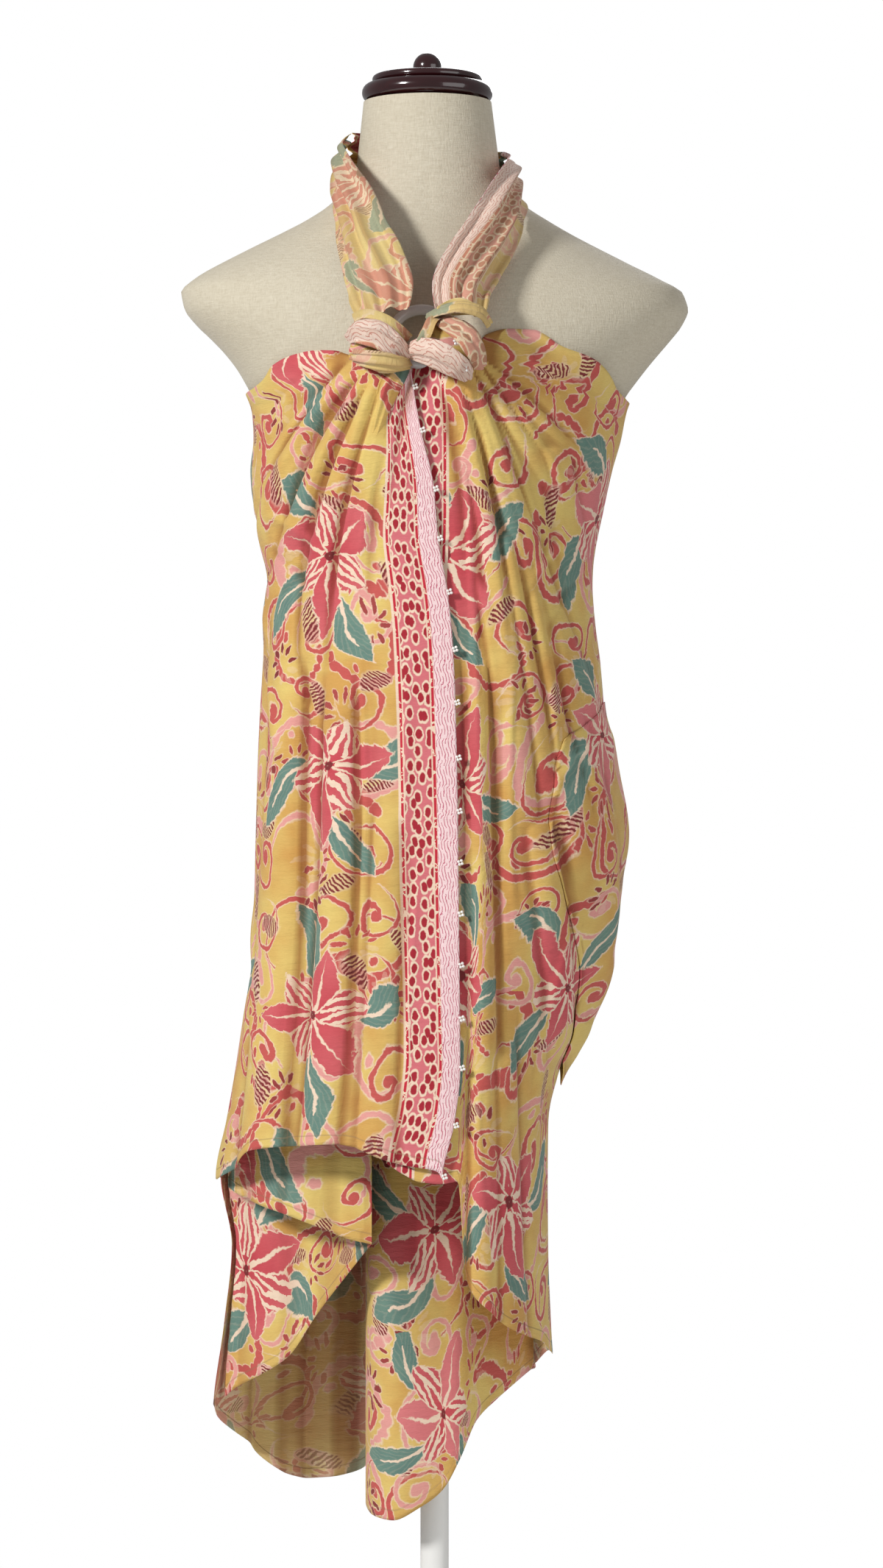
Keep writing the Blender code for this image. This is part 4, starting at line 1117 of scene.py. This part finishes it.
def underPlace(u, v):
    shown = u ** 1.25
    z = np.full_like(u, 1.0)
    lowTurn = underTurn(shown, np.full_like(u, 0.65))
    low = wrapped(lowTurn, np.full_like(u, 0.65))[..., 0]
    for _ in range(4):
        turn = underTurn(shown, z)
        x = wrapped(turn, z)[..., 0]
        top = np.where(turn < 90.0, edgeAt["underTop"](x), 1.2850)
        hem = np.where(lowTurn < 90.0, edgeAt["underHem"](low), 0.5472)
        z = top + (hem - top) * v
    points = wrapped(turn, z)
    points = points + outwardAt(turn) * underRise(turn, x, z)[..., None]
    fromEdge = lengthsAlong(points, 1) + (edgeAt["under"](z) - edgeAt["underPrint"](z))
    fromHem = lengthsAlong(points[::-1], 0)[::-1]
    printMap = np.stack((1.02 - fromEdge, z), -1)
    return points, printMap, np.stack((fromEdge, fromHem), -1)


underMap = underPlace(*evenGrid(96, 200))
overSeam = smoothTable(list(zip(overMap[0][:, 0, 2], overMap[1][:, 0, 0])))
underSeam = smoothTable(list(zip(underMap[0][:, -1, 2], underMap[1][:, -1, 0])))


def underPrintAt(turn, z):
    start = turnAt(edgeAt["under"](z), z)
    share = np.clip((turn - start) / (100.0 - start), 0.0, 1.0)
    top = np.where(turn < 90.0, edgeAt["underTop"](wrapped(turn, z)[..., 0]), 1.2850)
    return gridRead(underMap[1][..., 0], share ** 0.8, (top - z) / (top - 0.58))


backCloth = {
    "grid": (116, 212),
    "folds": [
        (118.0, 128.0, 1.250, 0.620, 7.0, 0.0060, 1.0), (140.0, 146.0, 1.180, 0.560, 6.0, 0.0045, 1.0),
        (158.0, 162.0, 1.240, 0.600, 8.0, 0.0050, 1.0), (178.0, 176.0, 1.130, 0.540, 7.0, 0.0060, 1.0),
        (199.0, 195.0, 1.200, 0.460, 8.0, 0.0055, 1.0), (217.0, 212.0, 1.150, 0.450, 6.0, 0.0045, 1.0),
        (238.0, 230.0, 1.220, 0.470, 7.0, 0.0060, 1.0),
    ],
    # fine creases behind, with the turn in hundredths of a degree-metre in place of x
    "creases": [
        (0.250, 1.2700, 0.300, 1.1200, 0.0080, 0.0100, 0.0020),
        (0.330, 1.2600, 0.345, 1.0200, -0.0060, 0.0090, -0.0014),
        (0.370, 1.2800, 0.395, 1.0900, 0.0060, 0.0110, 0.0020),
        (0.410, 1.1600, 0.400, 0.8800, 0.0060, 0.0090, 0.0018),
        (0.460, 1.2700, 0.430, 1.0400, -0.0060, 0.0100, 0.0020),
        (0.470, 1.0800, 0.462, 0.7600, 0.0060, 0.0090, -0.0014),
        (0.520, 1.2700, 0.500, 1.0000, 0.0060, 0.0100, 0.0018),
        (0.560, 1.1800, 0.540, 0.8800, 0.0060, 0.0090, 0.0020),
        (0.300, 1.0300, 0.318, 0.7400, 0.0060, 0.0090, 0.0018),
        (0.355, 0.9000, 0.365, 0.6200, 0.0050, 0.0080, -0.0014),
        (0.430, 0.8600, 0.428, 0.5600, 0.0050, 0.0090, 0.0018),
        (0.500, 0.8400, 0.488, 0.5400, 0.0050, 0.0090, 0.0018),
        (0.580, 1.0400, 0.566, 0.7000, 0.0050, 0.0090, -0.0014),
        (0.270, 0.9400, 0.286, 0.6400, 0.0050, 0.0090, 0.0016),
    ],
    "flat": (0.430, 0.800),
}


def backFoldsAt(turn, z):
    total = np.zeros_like(turn)
    for turnTop, turnLow, top, bottom, wide, depth, kept in backCloth["folds"]:
        t = np.clip((top - z) / (top - bottom), 0.0, 1.0)
        line = turnTop + (turnLow - turnTop) * t
        total = total + depth * ease(t / 0.3) * (1.0 - (1.0 - kept) * t) * ridge((turn - line) / wide)
    return total


def backRise(turn, z):
    fine = creasesAt(backCloth["creases"], turn * 0.0025, z)
    return 1.3 * backFoldsAt(turn, z) + fine + 0.0022 * unevenness(wrapped(turn, z), 15.0, 5.0, 5.2)


def backPlace(u, v):
    seam = math.degrees(0.0002 / 0.13)
    turn = 100.0 + seam + (160.0 - 2.0 * seam) * u
    top = edgeAt["backTop"](turn)
    hem = edgeAt["backHem"](turn)
    z = top + (hem - top) * v
    edge = np.minimum(1.0, np.minimum(12.0 * u, 12.0 * (1.0 - u)))
    out = 0.0004 * ease(5.0 * (u - 0.8))
    points = wrapped(turn, z, out)
    points = points + outwardAt(turn) * (backRise(turn, z) * edge)[..., None]
    along = lengthsAlong(points, 1)
    share = along / along[:, -1:]
    # the print runs on from the right side round to the left side without a break
    printX = underSeam(z) + (overSeam(z) - underSeam(z)) * share
    printMap = np.stack((printX, z), -1)
    fromHem = lengthsAlong(points[::-1], 0)[::-1]
    return points, printMap, np.stack((np.full_like(u, 0.3), fromHem), -1)


def dressWith(name, node, grid, place, restsOn, side=-1.0):
    sheet = makeSheet(name, grid[0], grid[1], place, bothSides, side=side)
    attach(sheet, "root")
    if node:
        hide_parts(node)
    print("  cloth", name, len(sheet.data.polygons), "faces")
    return sheet


dressWith("front_over", "over_front", overEnd["grid"], overPlace, ["form_cover"])
dressWith("front_under", "under_front", underEnd["grid"], underPlace, ["form_cover"])
dressWith("back_wrapped", "back_wrap", backCloth["grid"], backPlace, ["form_cover"])
print("wound cloth made")

# layers inside the skirt -------------------------------------------------------
innerLayers = {
    "corner_turned": {
        "node": "turned_corner", "grid": (44, 60), "gap": 0.0016, "bow": 0.0025, "print": (0.62, 0.10),
        "flat": (0.140, 0.195),
        "rows": [
            (-0.1600, -0.0120, 0.860, 0.6780), (-0.1500, -0.0260, 0.858, 0.6726),
            (-0.1350, -0.0400, 0.856, 0.6672), (-0.1170, -0.0520, 0.852, 0.6620),
            (-0.0900, -0.0640, 0.850, 0.6530), (-0.0670, -0.0730, 0.848, 0.6444),
            (-0.0480, -0.0770, 0.846, 0.6405),
        ],
    },
    "fall_side": {
        "node": "side_fall", "grid": (50, 80), "gap": 0.0036, "bow": 0.0025, "print": (0.40, 0.03),
        "flat": (0.170, 0.260),
        "rows": [
            (-0.1680, 0.0330, 0.780, 0.5060), (-0.1585, 0.0190, 0.790, 0.5162),
            (-0.1380, 0.0080, 0.810, 0.5290), (-0.1144, -0.0010, 0.830, 0.5450),
            (-0.0920, -0.0180, 0.842, 0.5790), (-0.0680, -0.0460, 0.846, 0.6130),
            (-0.0486, -0.0752, 0.846, 0.6400),
        ],
    },
    "lobe_back": {
        "node": "back_lobe", "grid": (84, 100), "gap": 0.0019, "bow": 0.0020, "print": (0.10, 0.0),
        "flat": (0.270, 0.340),
        "rows": [
            (-0.0500, 0.1060, 0.800, 0.4400), (-0.0540, 0.0620, 0.802, 0.4360),
            (-0.0540, 0.0160, 0.804, 0.4300), (-0.0490, -0.0220, 0.805, 0.4260),
            (-0.0320, -0.0370, 0.806, 0.4240), (-0.0120, -0.0350, 0.806, 0.4330),
            (0.0060, -0.0300, 0.806, 0.4460), (0.0200, -0.0250, 0.805, 0.4700),
            (0.0330, -0.0160, 0.804, 0.4980), (0.0480, 0.0020, 0.802, 0.5110),
            (0.0660, 0.0280, 0.800, 0.5230), (0.0780, 0.0480, 0.800, 0.5300),
        ],
    },
}


def innerPlace(layer):
    columns = [smoothTable(spread(layer["rows"]), column) for column in (1, 2, 3, 4)]

    def place(u, v):
        x, y, top, hem = [column(u) for column in columns]
        wave = layer["bow"] * np.sin(3.0 * np.pi * u) * np.sin(0.5 * np.pi * v)
        wave = wave + 0.0011 * np.sin(8.3 * np.pi * u + 1.2 * v) * np.sin(0.5 * np.pi * v) ** 2
        points = np.stack((x, y + wave, top + (hem - top) * v), -1)
        points = insideWrap(points, layer["gap"])
        along = lengthsAlong(points, 1)
        fromHem = lengthsAlong(points[::-1], 0)[::-1]
        printMap = np.stack((along + layer["print"][0], points[..., 2] + layer["print"][1]), -1)
        return points, printMap, np.stack((np.full_like(u, 0.3), fromHem), -1)

    return place


for layerName, layer in innerLayers.items():
    dressWith(layerName, layer["node"], layer["grid"], innerPlace(layer), ["front_over"])

hipFold = {
    "grid": (56, 84),
    "rows": [
        (1.0550, 50.0, 128.0, 0.0002), (1.0000, 40.0, 134.0, 0.0030), (0.9480, 38.0, 138.0, 0.0080),
        (0.9139, 44.0, 136.0, 0.0058), (0.8796, 54.0, 132.0, 0.0072), (0.8400, 68.0, 124.0, 0.0084),
        (0.8108, 76.0, 116.0, 0.0082), (0.7800, 82.0, 108.0, 0.0060), (0.7560, 87.0, 100.0, 0.0035),
    ],
    "creases": [
        (0.0800, 1.0350, 0.1320, 0.9000, 0.0100, 0.0080, 0.0046),
        (0.0640, 1.0000, 0.1240, 0.8400, 0.0140, 0.0076, 0.0040),
        (0.0560, 0.9500, 0.1080, 0.8000, 0.0140, 0.0070, 0.0034),
        (0.1300, 0.9300, 0.0980, 0.7900, -0.0080, 0.0076, 0.0042),
        (0.1160, 0.9200, 0.0860, 0.8000, -0.0070, 0.0064, -0.0022),
        (0.1000, 1.0400, 0.1380, 0.9500, 0.0060, 0.0060, 0.0030),
        (0.1220, 0.8700, 0.1030, 0.7800, -0.0040, 0.0056, 0.0030),
    ],
    "flat": (0.155, 0.310),
}


def hipPlace(u, v):
    front, back, stand = [smoothTable(hipFold["rows"], column) for column in (1, 2, 3)]
    ends = (2.0 * u - 1.0) ** 2
    z = 1.0550 - 0.0300 * ends + (0.7560 + 0.0500 * ends - 1.0550) * v
    turn = front(z) + (back(z) - front(z)) * u
    x = wrapped(turn, z)[..., 0]
    behind = backRise(turn, z) * np.minimum(1.0, 12.0 * (turn - 100.0) / 160.0)
    below = np.where(turn > 100.0, behind, underRise(turn, x, z))
    swell = 0.0018 * np.sin(2.0 * np.pi * (2.5 * u - 0.6 * v)) * np.sin(np.pi * v)
    arch = np.abs(np.sin(np.pi * u))
    stood = 1.15 * stand(z) * arch ** 0.8
    stood = stood * ease(v / 0.10)
    fine = np.maximum(creasesAt(hipFold["creases"], x, z), -0.001) * arch
    arch = arch * ease(v / 0.22) * ease((1.0 - v) / 0.16)
    lift = 0.0012 + 0.0024 * np.minimum(1.0, 3.0 * arch)
    points = wrapped(turn, z)
    points = points + outwardAt(turn) * (below + lift + np.maximum(0.0, stood + swell) + fine)[..., None]
    share = np.clip((turn - 100.0) / 160.0, 0.0, 1.0)
    over = underSeam(z) + (overSeam(z) - underSeam(z)) * share
    printMap = np.stack((np.where(turn > 100.0, over, underPrintAt(turn, z)), z), -1)
    fromSide = np.full_like(u, 0.3)
    return points, printMap, np.stack((fromSide, fromSide), -1)


dressWith("fold_hip", "hip_drape", hipFold["grid"], hipPlace, ["front_under"])
print("inner layers and hip fold made")

# straps ------------------------------------------------------------------------
straps = {
    "strap_left": {
        "node": "strap_over", "grid": (64, 96), "gap": 0.0034, "pleats": 3, "depth": 0.0026,
        "edge": (0.30, 0.0), "print": (0.215, 1.18), "flat": (0.062, 0.195),
        "rows": [
            (-0.0370, -0.1450, 1.3400, 0.0205), (-0.0390, -0.1330, 1.3600, 0.0260),
            (-0.0450, -0.1150, 1.3810, 0.0262), (-0.0535, -0.0960, 1.4040, 0.0240),
            (-0.0600, -0.0750, 1.4280, 0.0230), (-0.0680, -0.0420, 1.4530, 0.0205),
            (-0.0700, -0.0050, 1.4720, 0.0180), (-0.0620, 0.0240, 1.4850, 0.0165),
        ],
    },
    "strap_right": {
        "node": "strap_under", "grid": (64, 96), "gap": 0.0034, "pleats": 3, "depth": 0.0026,
        "edge": (0.0, 1.0), "print": (0.505, 1.02), "flat": (0.058, 0.190),
        "rows": [
            (0.0185, -0.1450, 1.3396, 0.0190), (0.0195, -0.1330, 1.3600, 0.0225),
            (0.0300, -0.1150, 1.3840, 0.0235), (0.0420, -0.0950, 1.4050, 0.0235),
            (0.0520, -0.0740, 1.4270, 0.0225), (0.0570, -0.0420, 1.4480, 0.0200),
            (0.0580, -0.0050, 1.4620, 0.0175), (0.0515, 0.0240, 1.4700, 0.0165),
        ],
    },
    "strap_behind": {
        "node": "strap_nape", "grid": (64, 72), "gap": 0.0020, "pleats": 3, "depth": 0.0026,
        "edge": (0.30, 0.0), "print": (0.92, 1.31), "flat": (0.045, 0.150),
        "rows": [
            (-0.0601, 0.0277, 1.4864, 0.0160), (-0.0510, 0.0440, 1.4880, 0.0160),
            (-0.0320, 0.0550, 1.4880, 0.0150), (-0.0055, 0.0590, 1.4840, 0.0145),
            (0.0200, 0.0550, 1.4790, 0.0150), (0.0390, 0.0440, 1.4740, 0.0160),
            (0.0512, 0.0249, 1.4703, 0.0165),
        ],
    },
}


def crossed(first, second):
    made = np.cross(first, second)
    return made / np.linalg.norm(made, axis=-1, keepdims=True)


def strapPlace(strap):
    columns = [smoothTable(spread(strap["rows"]), column) for column in (1, 2, 3, 4)]

    def centre(t):
        t = np.clip(t, 0.0, 1.0)
        return np.stack([columns[0](t), columns[1](t), columns[2](t)], -1)

    def place(u, v):
        ahead = centre(v + 0.04) - centre(v - 0.04)
        middle = centre(v)
        outward = np.stack((middle[..., 0] + 0.0055, middle[..., 1], 0.0 * u), -1)
        across = crossed(ahead, outward)
        outward = crossed(across, ahead)
        side = 2.0 * u - 1.0
        half = columns[3](v)
        curl = 0.0075 * (1.0 - side * side)
        ripple = strap["depth"] * np.cos(2.0 * np.pi * strap["pleats"] * u + 1.6 * v)
        # finer pleats come and go along the strap
        fine = 0.0011 * np.cos(2.0 * np.pi * (7.0 * u + 0.35 * np.sin(5.0 * v)) + 2.4 * v)
        fine = fine * (0.45 + 0.55 * np.sin(4.0 * v + 5.0 * u) ** 2)
        points = middle + across * (half * side)[..., None] + outward * (curl + ripple + fine + 0.0006)[..., None]
        points = clearOfForm(points, strap["gap"])
        alongWay = lengthsAlong(points, 0)
        acrossWay = lengthsAlong(points, 1)
        start, rate = strap["edge"]
        fromEdge = start + acrossWay * rate
        printMap = np.stack((acrossWay + strap["print"][0], alongWay + strap["print"][1]), -1)
        return points, printMap, np.stack((fromEdge, np.full_like(u, 0.3)), -1)

    return place


for strapName, strap in straps.items():
    dressWith(strapName, strap["node"], strap["grid"], strapPlace(strap),
              ["form_cover"], side=1.0)
print("straps made")

# knots ---------------------------------------------------------------------------
knots = {
    "left": {
        "node": "knot_over", "middle": (-0.0440, -0.1445, 1.3205), "half": (0.0215, 0.0130, 0.0165), "lean": -14.0,
        "bands": {
            "left_border": {
                "pleats": 2, "edge": (0.0, 0.70), "print": (0.0, 0.31),
                "rows": [
                    (-0.0615, -0.1440, 1.3250, 0.0066), (-0.0560, -0.1565, 1.3275, 0.0098),
                    (-0.0440, -0.1620, 1.3255, 0.0116), (-0.0315, -0.1605, 1.3175, 0.0098),
                    (-0.0205, -0.1490, 1.3105, 0.0056),
                ],
            },
            "left_top": {
                "pleats": 2, "edge": (0.30, 0.0), "print": (0.132, 0.55),
                "rows": [
                    (-0.0575, -0.1430, 1.3370, 0.0034), (-0.0490, -0.1550, 1.3390, 0.0046),
                    (-0.0380, -0.1575, 1.3355, 0.0052), (-0.0285, -0.1535, 1.3290, 0.0046),
                    (-0.0215, -0.1440, 1.3230, 0.0034),
                ],
            },
            "left_low": {
                "pleats": 3, "edge": (0.30, 0.0), "print": (0.245, 0.93),
                "rows": [
                    (-0.0585, -0.1430, 1.3110, 0.0054), (-0.0520, -0.1550, 1.3075, 0.0088),
                    (-0.0400, -0.1595, 1.3045, 0.0104), (-0.0290, -0.1560, 1.3030, 0.0084),
                    (-0.0210, -0.1450, 1.3050, 0.0048),
                ],
            },
        },
    },
    "right": {
        "node": "knot_under", "middle": (0.0112, -0.1480, 1.3185), "half": (0.0235, 0.0135, 0.0200), "lean": 22.0,
        "bands": {
            "right_border": {
                "pleats": 2, "edge": (0.0, 0.66), "print": (0.0, 0.47),
                "rows": [
                    (-0.0175, -0.1480, 1.3135, 0.0062), (-0.0085, -0.1605, 1.3125, 0.0100),
                    (0.0040, -0.1665, 1.3080, 0.0122), (0.0155, -0.1640, 1.3010, 0.0108),
                    (0.0245, -0.1520, 1.2950, 0.0060),
                ],
            },
            "right_dots": {
                "pleats": 2, "edge": (0.0200, 0.85), "print": (0.0, 0.83),
                "rows": [
                    (0.0050, -0.1490, 1.3350, 0.0070), (0.0150, -0.1600, 1.3305, 0.0112),
                    (0.0260, -0.1630, 1.3215, 0.0124), (0.0315, -0.1590, 1.3115, 0.0098),
                    (0.0335, -0.1490, 1.3030, 0.0058),
                ],
            },
            "right_stub": {
                "pleats": 2, "edge": (0.30, 0.0), "print": (0.330, 0.42),
                "rows": [
                    (0.0030, -0.1490, 1.3350, 0.0046), (-0.0020, -0.1590, 1.3320, 0.0060),
                    (-0.0050, -0.1615, 1.3255, 0.0060), (-0.0085, -0.1580, 1.3195, 0.0046),
                    (-0.0110, -0.1490, 1.3150, 0.0030),
                ],
            },
            "right_ruffle": {
                "pleats": 4, "edge": (0.30, 0.0), "print": (0.128, 1.20),
                "rows": [
                    (-0.0030, -0.1480, 1.3360, 0.0046), (0.0080, -0.1570, 1.3410, 0.0074),
                    (0.0200, -0.1600, 1.3435, 0.0082), (0.0320, -0.1565, 1.3410, 0.0074),
                    (0.0385, -0.1480, 1.3330, 0.0048),
                ],
            },
        },
    },
}


def bandPlace(band, middleOfKnot):
    columns = [smoothTable(spread(band["rows"]), column) for column in (1, 2, 3, 4)]

    def centre(t):
        t = np.clip(t, 0.0, 1.0)
        return np.stack([columns[0](t), columns[1](t), columns[2](t)], -1)

    def place(u, v):
        ahead = centre(v + 0.03) - centre(v - 0.03)
        middle = centre(v)
        outward = middle - np.array(middleOfKnot)
        across = crossed(ahead, outward)
        outward = crossed(across, ahead)
        side = 2.0 * u - 1.0
        half = columns[3](v)
        curl = 0.0052 * (1.0 - side * side)
        ripple = 0.0009 * np.cos(2.0 * np.pi * band["pleats"] * u + 2.5 * v + 40.0 * band["rows"][1][0])
        fine = 0.0003 * np.cos(2.0 * np.pi * (2.0 * band["pleats"] + 1.0) * u + 5.0 * v)
        points = middle + across * (half * side)[..., None] + outward * (curl + ripple + fine)[..., None]
        alongWay = lengthsAlong(points, 0)
        acrossWay = lengthsAlong(points, 1)
        start, rate = band["edge"]
        printMap = np.stack((acrossWay + band["print"][0], alongWay + band["print"][1]), -1)
        fromEdge = start + acrossWay * rate
        return points, printMap, np.stack((fromEdge, np.full_like(u, 0.3)), -1)

    return place


def makeKnotCore(side, knot):
    clearSelection()
    bpy.ops.mesh.primitive_uv_sphere_add(segments=72, ring_count=48, radius=1.0)
    core = bpy.context.object
    core.name = "knot_" + side + "_core"
    across, deep, high = knot["half"]
    x, y, z = knot["middle"]
    lean = math.radians(knot["lean"])
    for vertex in core.data.vertices:
        point = vertex.co.copy()
        swirl = math.sin(7.0 * math.atan2(point.z, point.x) + 2.5 * point.y)
        scale = 1.0 - 0.07 * (1.0 + swirl) * (1.0 - abs(point.y) ** 3)
        wide = point.x * across * scale
        tall = point.z * high * scale
        vertex.co = (
            x + wide * math.cos(lean) + tall * math.sin(lean),
            y + point.y * deep * scale,
            z - wide * math.sin(lean) + tall * math.cos(lean),
        )
    core.data.uv_layers[0].name = "print"
    edgeLayer = core.data.uv_layers.new(name="edge")
    edgeLayer.data.foreach_set("uv", np.full(len(core.data.loops) * 2, 0.3))
    printLayer = core.data.uv_layers["print"]
    spots = np.empty(len(core.data.loops) * 2)
    printLayer.data.foreach_get("uv", spots)
    printLayer.data.foreach_set("uv", spots * 0.11 + 0.35)
    bpy.ops.object.shade_smooth()
    give(core, sarongFace)
    settle(core, core.name, [knot["node"]])


for knotSide, knot in knots.items():
    makeKnotCore(knotSide, knot)
    for bandName, band in knot["bands"].items():
        flat = (2.7 * max(row[3] for row in band["rows"]), 0.060)
        dressWith("knot_" + bandName, None, (30, 60), bandPlace(band, knot["middle"]),
                  ["knot_" + knotSide + "_core"], side=1.0)
print("knots made")

looseEnds = {
    "flap_over": {"node": "over_flap", "grid": (24, 50), "print": (0.128, 0.40), "flat": (0.018, 0.060)},
    "tail_under": {"node": "under_tail", "grid": (40, 20), "print": (0.330, 0.20), "flat": (0.034, 0.011)},
}


def flapPlace(u, v):
    half = 0.0090 - 0.0045 * v
    x = -0.0250 - 0.0170 * v ** 1.2 + half * (2.0 * u - 1.0)
    z = 1.3050 - 0.0560 * v
    rise = foldsAt(overEnd["folds"], x, z) + gatheredAt(x, z) + 0.0060 - 0.0052 * v ** 2.0
    rise = rise + 0.0036 * np.sin(np.pi * u) + 0.0009 * np.cos(5.0 * np.pi * u + 2.0 * v)
    turn = turnAt(x, z)
    points = wrapped(turn, z, rise)
    printMap = np.stack((overPrintAt(turn, z), z), -1)
    return points, printMap, np.stack((np.full_like(u, 0.3), np.full_like(u, 0.3)), -1)


def tailPlace(u, v):
    x = 0.0020 + 0.0320 * u
    z = 1.3392 + 0.0130 * v * np.sin(np.pi * (0.15 + 0.70 * u))
    y = -0.1563 - 0.0012 * np.cos(3.0 * np.pi * u) - 0.0006 * np.sin(11.0 * u + 3.0 * v)
    points = np.stack((x, y, z), -1)
    first, second = looseEnds["tail_under"]["print"]
    printMap = np.stack((x + first, z + second), -1)
    return points, printMap, np.stack((np.full_like(u, 0.3), np.full_like(u, 0.3)), -1)


for endName, endPlace in (("flap_over", flapPlace), ("tail_under", tailPlace)):
    loose = looseEnds[endName]
    dressWith(endName, loose["node"], loose["grid"], endPlace, ["knot_left_core"])
print("loose ends made")

# ring ------------------------------------------------------------------------------
ringShape = {"radius": 0.0225, "bar": 0.0042, "centre": (-0.0095, -0.1244, 1.3265), "lean": 20.0}
clearSelection()
bpy.ops.mesh.primitive_torus_add(
    major_radius=ringShape["radius"], minor_radius=ringShape["bar"], major_segments=72, minor_segments=20,
    location=ringShape["centre"], rotation=(math.radians(90.0 - ringShape["lean"]), 0.0, 0.0))
clearRing = bpy.context.object
bpy.ops.object.shade_smooth()
give(clearRing, ringClear)
settle(clearRing, "ring_clear", ["sarong_ring"])

# bead clusters along the over end's edge ---------------------------------------------
beadWork = {
    "radius": 0.00115,
    "heights": [1.2890, 1.2560, 1.2130, 1.1750, 1.1350, 1.0930, 1.0530, 1.0120, 0.9720,
                0.9330, 0.8940, 0.8560, 0.8160, 0.7790, 0.7370, 0.6990],
    "offsets": [(0.0, 0.0), (0.0021, 0.0008), (0.0008, -0.0021), (0.0028, -0.0015)],
}


def makeBeads():
    down = 400
    v, u = np.meshgrid(np.arange(down + 1) / down, np.array([0.985, 1.0]), indexing="ij")
    edgeLine = overPlace(u, v)[0][:, 1]
    centres = []
    for height in beadWork["heights"]:
        point = edgeLine[int(np.argmin(np.abs(edgeLine[:, 2] - height)))]
        for index, (aside, down) in enumerate(beadWork["offsets"]):
            centres.append((point[0] + aside, point[1] - 0.0006 - 0.0003 * (index % 2), point[2] + down))
    for knotPoint in ((-0.0318, -0.1618, 1.3175), (0.0150, -0.1668, 1.3190), (0.0210, -0.1630, 1.2990)):
        for aside, down in beadWork["offsets"]:
            centres.append((knotPoint[0] + aside, knotPoint[1] - 0.0016, knotPoint[2] + down))
    clearSelection()
    beads = []
    for centre in centres:
        bpy.ops.mesh.primitive_ico_sphere_add(subdivisions=2, radius=beadWork["radius"], location=centre)
        beads.append(bpy.context.object)
    for bead in beads:
        bead.select_set(True)
    bpy.context.view_layer.objects.active = beads[0]
    bpy.ops.object.join()
    joined = bpy.context.object
    bpy.ops.object.shade_smooth()
    give(joined, beadPearl)
    settle(joined, "edge_beads")


makeBeads()
print("ring and beads made")

# floor and world ------------------------------------------------------------------------
clearSelection()
bpy.ops.mesh.primitive_circle_add(
    vertices=96, radius=studio["floorRadius"], fill_type="NGON", location=(0.0, 0.0, -0.0005))
floor = bpy.context.object
floor.name = "studio_floor"
floorFinish = Finish("floor_pale", Roughness=0.7)
floorTone = floorFinish.noise(floorFinish.objectPlace(), 3.0, 2.0, 0.5, flat=False)
floorFinish.feed("Base Color", floorFinish.blend(floorTone, paint(238, 238, 236), paint(230, 230, 227)))
give(floor, floorFinish)
bpy.ops.object.transform_apply(location=True, rotation=True, scale=True)

world = bpy.context.scene.world or bpy.data.worlds.new("studio")
bpy.context.scene.world = world
world.use_nodes = True
worldTree = world.node_tree
worldTree.nodes.clear()
seen = worldTree.nodes.new("ShaderNodeLightPath")
room = worldTree.nodes.new("ShaderNodeBackground")
room.inputs["Color"].default_value = (0.98, 0.985, 1.0, 1.0)
room.inputs["Strength"].default_value = studio["roomLight"]
plain = worldTree.nodes.new("ShaderNodeBackground")
plain.inputs["Color"].default_value = (1.0, 1.0, 1.0, 1.0)
joinWorld = worldTree.nodes.new("ShaderNodeMixShader")
worldOut = worldTree.nodes.new("ShaderNodeOutputWorld")
worldTree.links.new(seen.outputs["Is Camera Ray"], joinWorld.inputs[0])
worldTree.links.new(room.outputs[0], joinWorld.inputs[1])
worldTree.links.new(plain.outputs[0], joinWorld.inputs[2])
worldTree.links.new(joinWorld.outputs[0], worldOut.inputs[0])
bpy.context.scene.view_settings.view_transform = "Standard"
bpy.context.scene.view_settings.look = "None"
print("floor and world made")
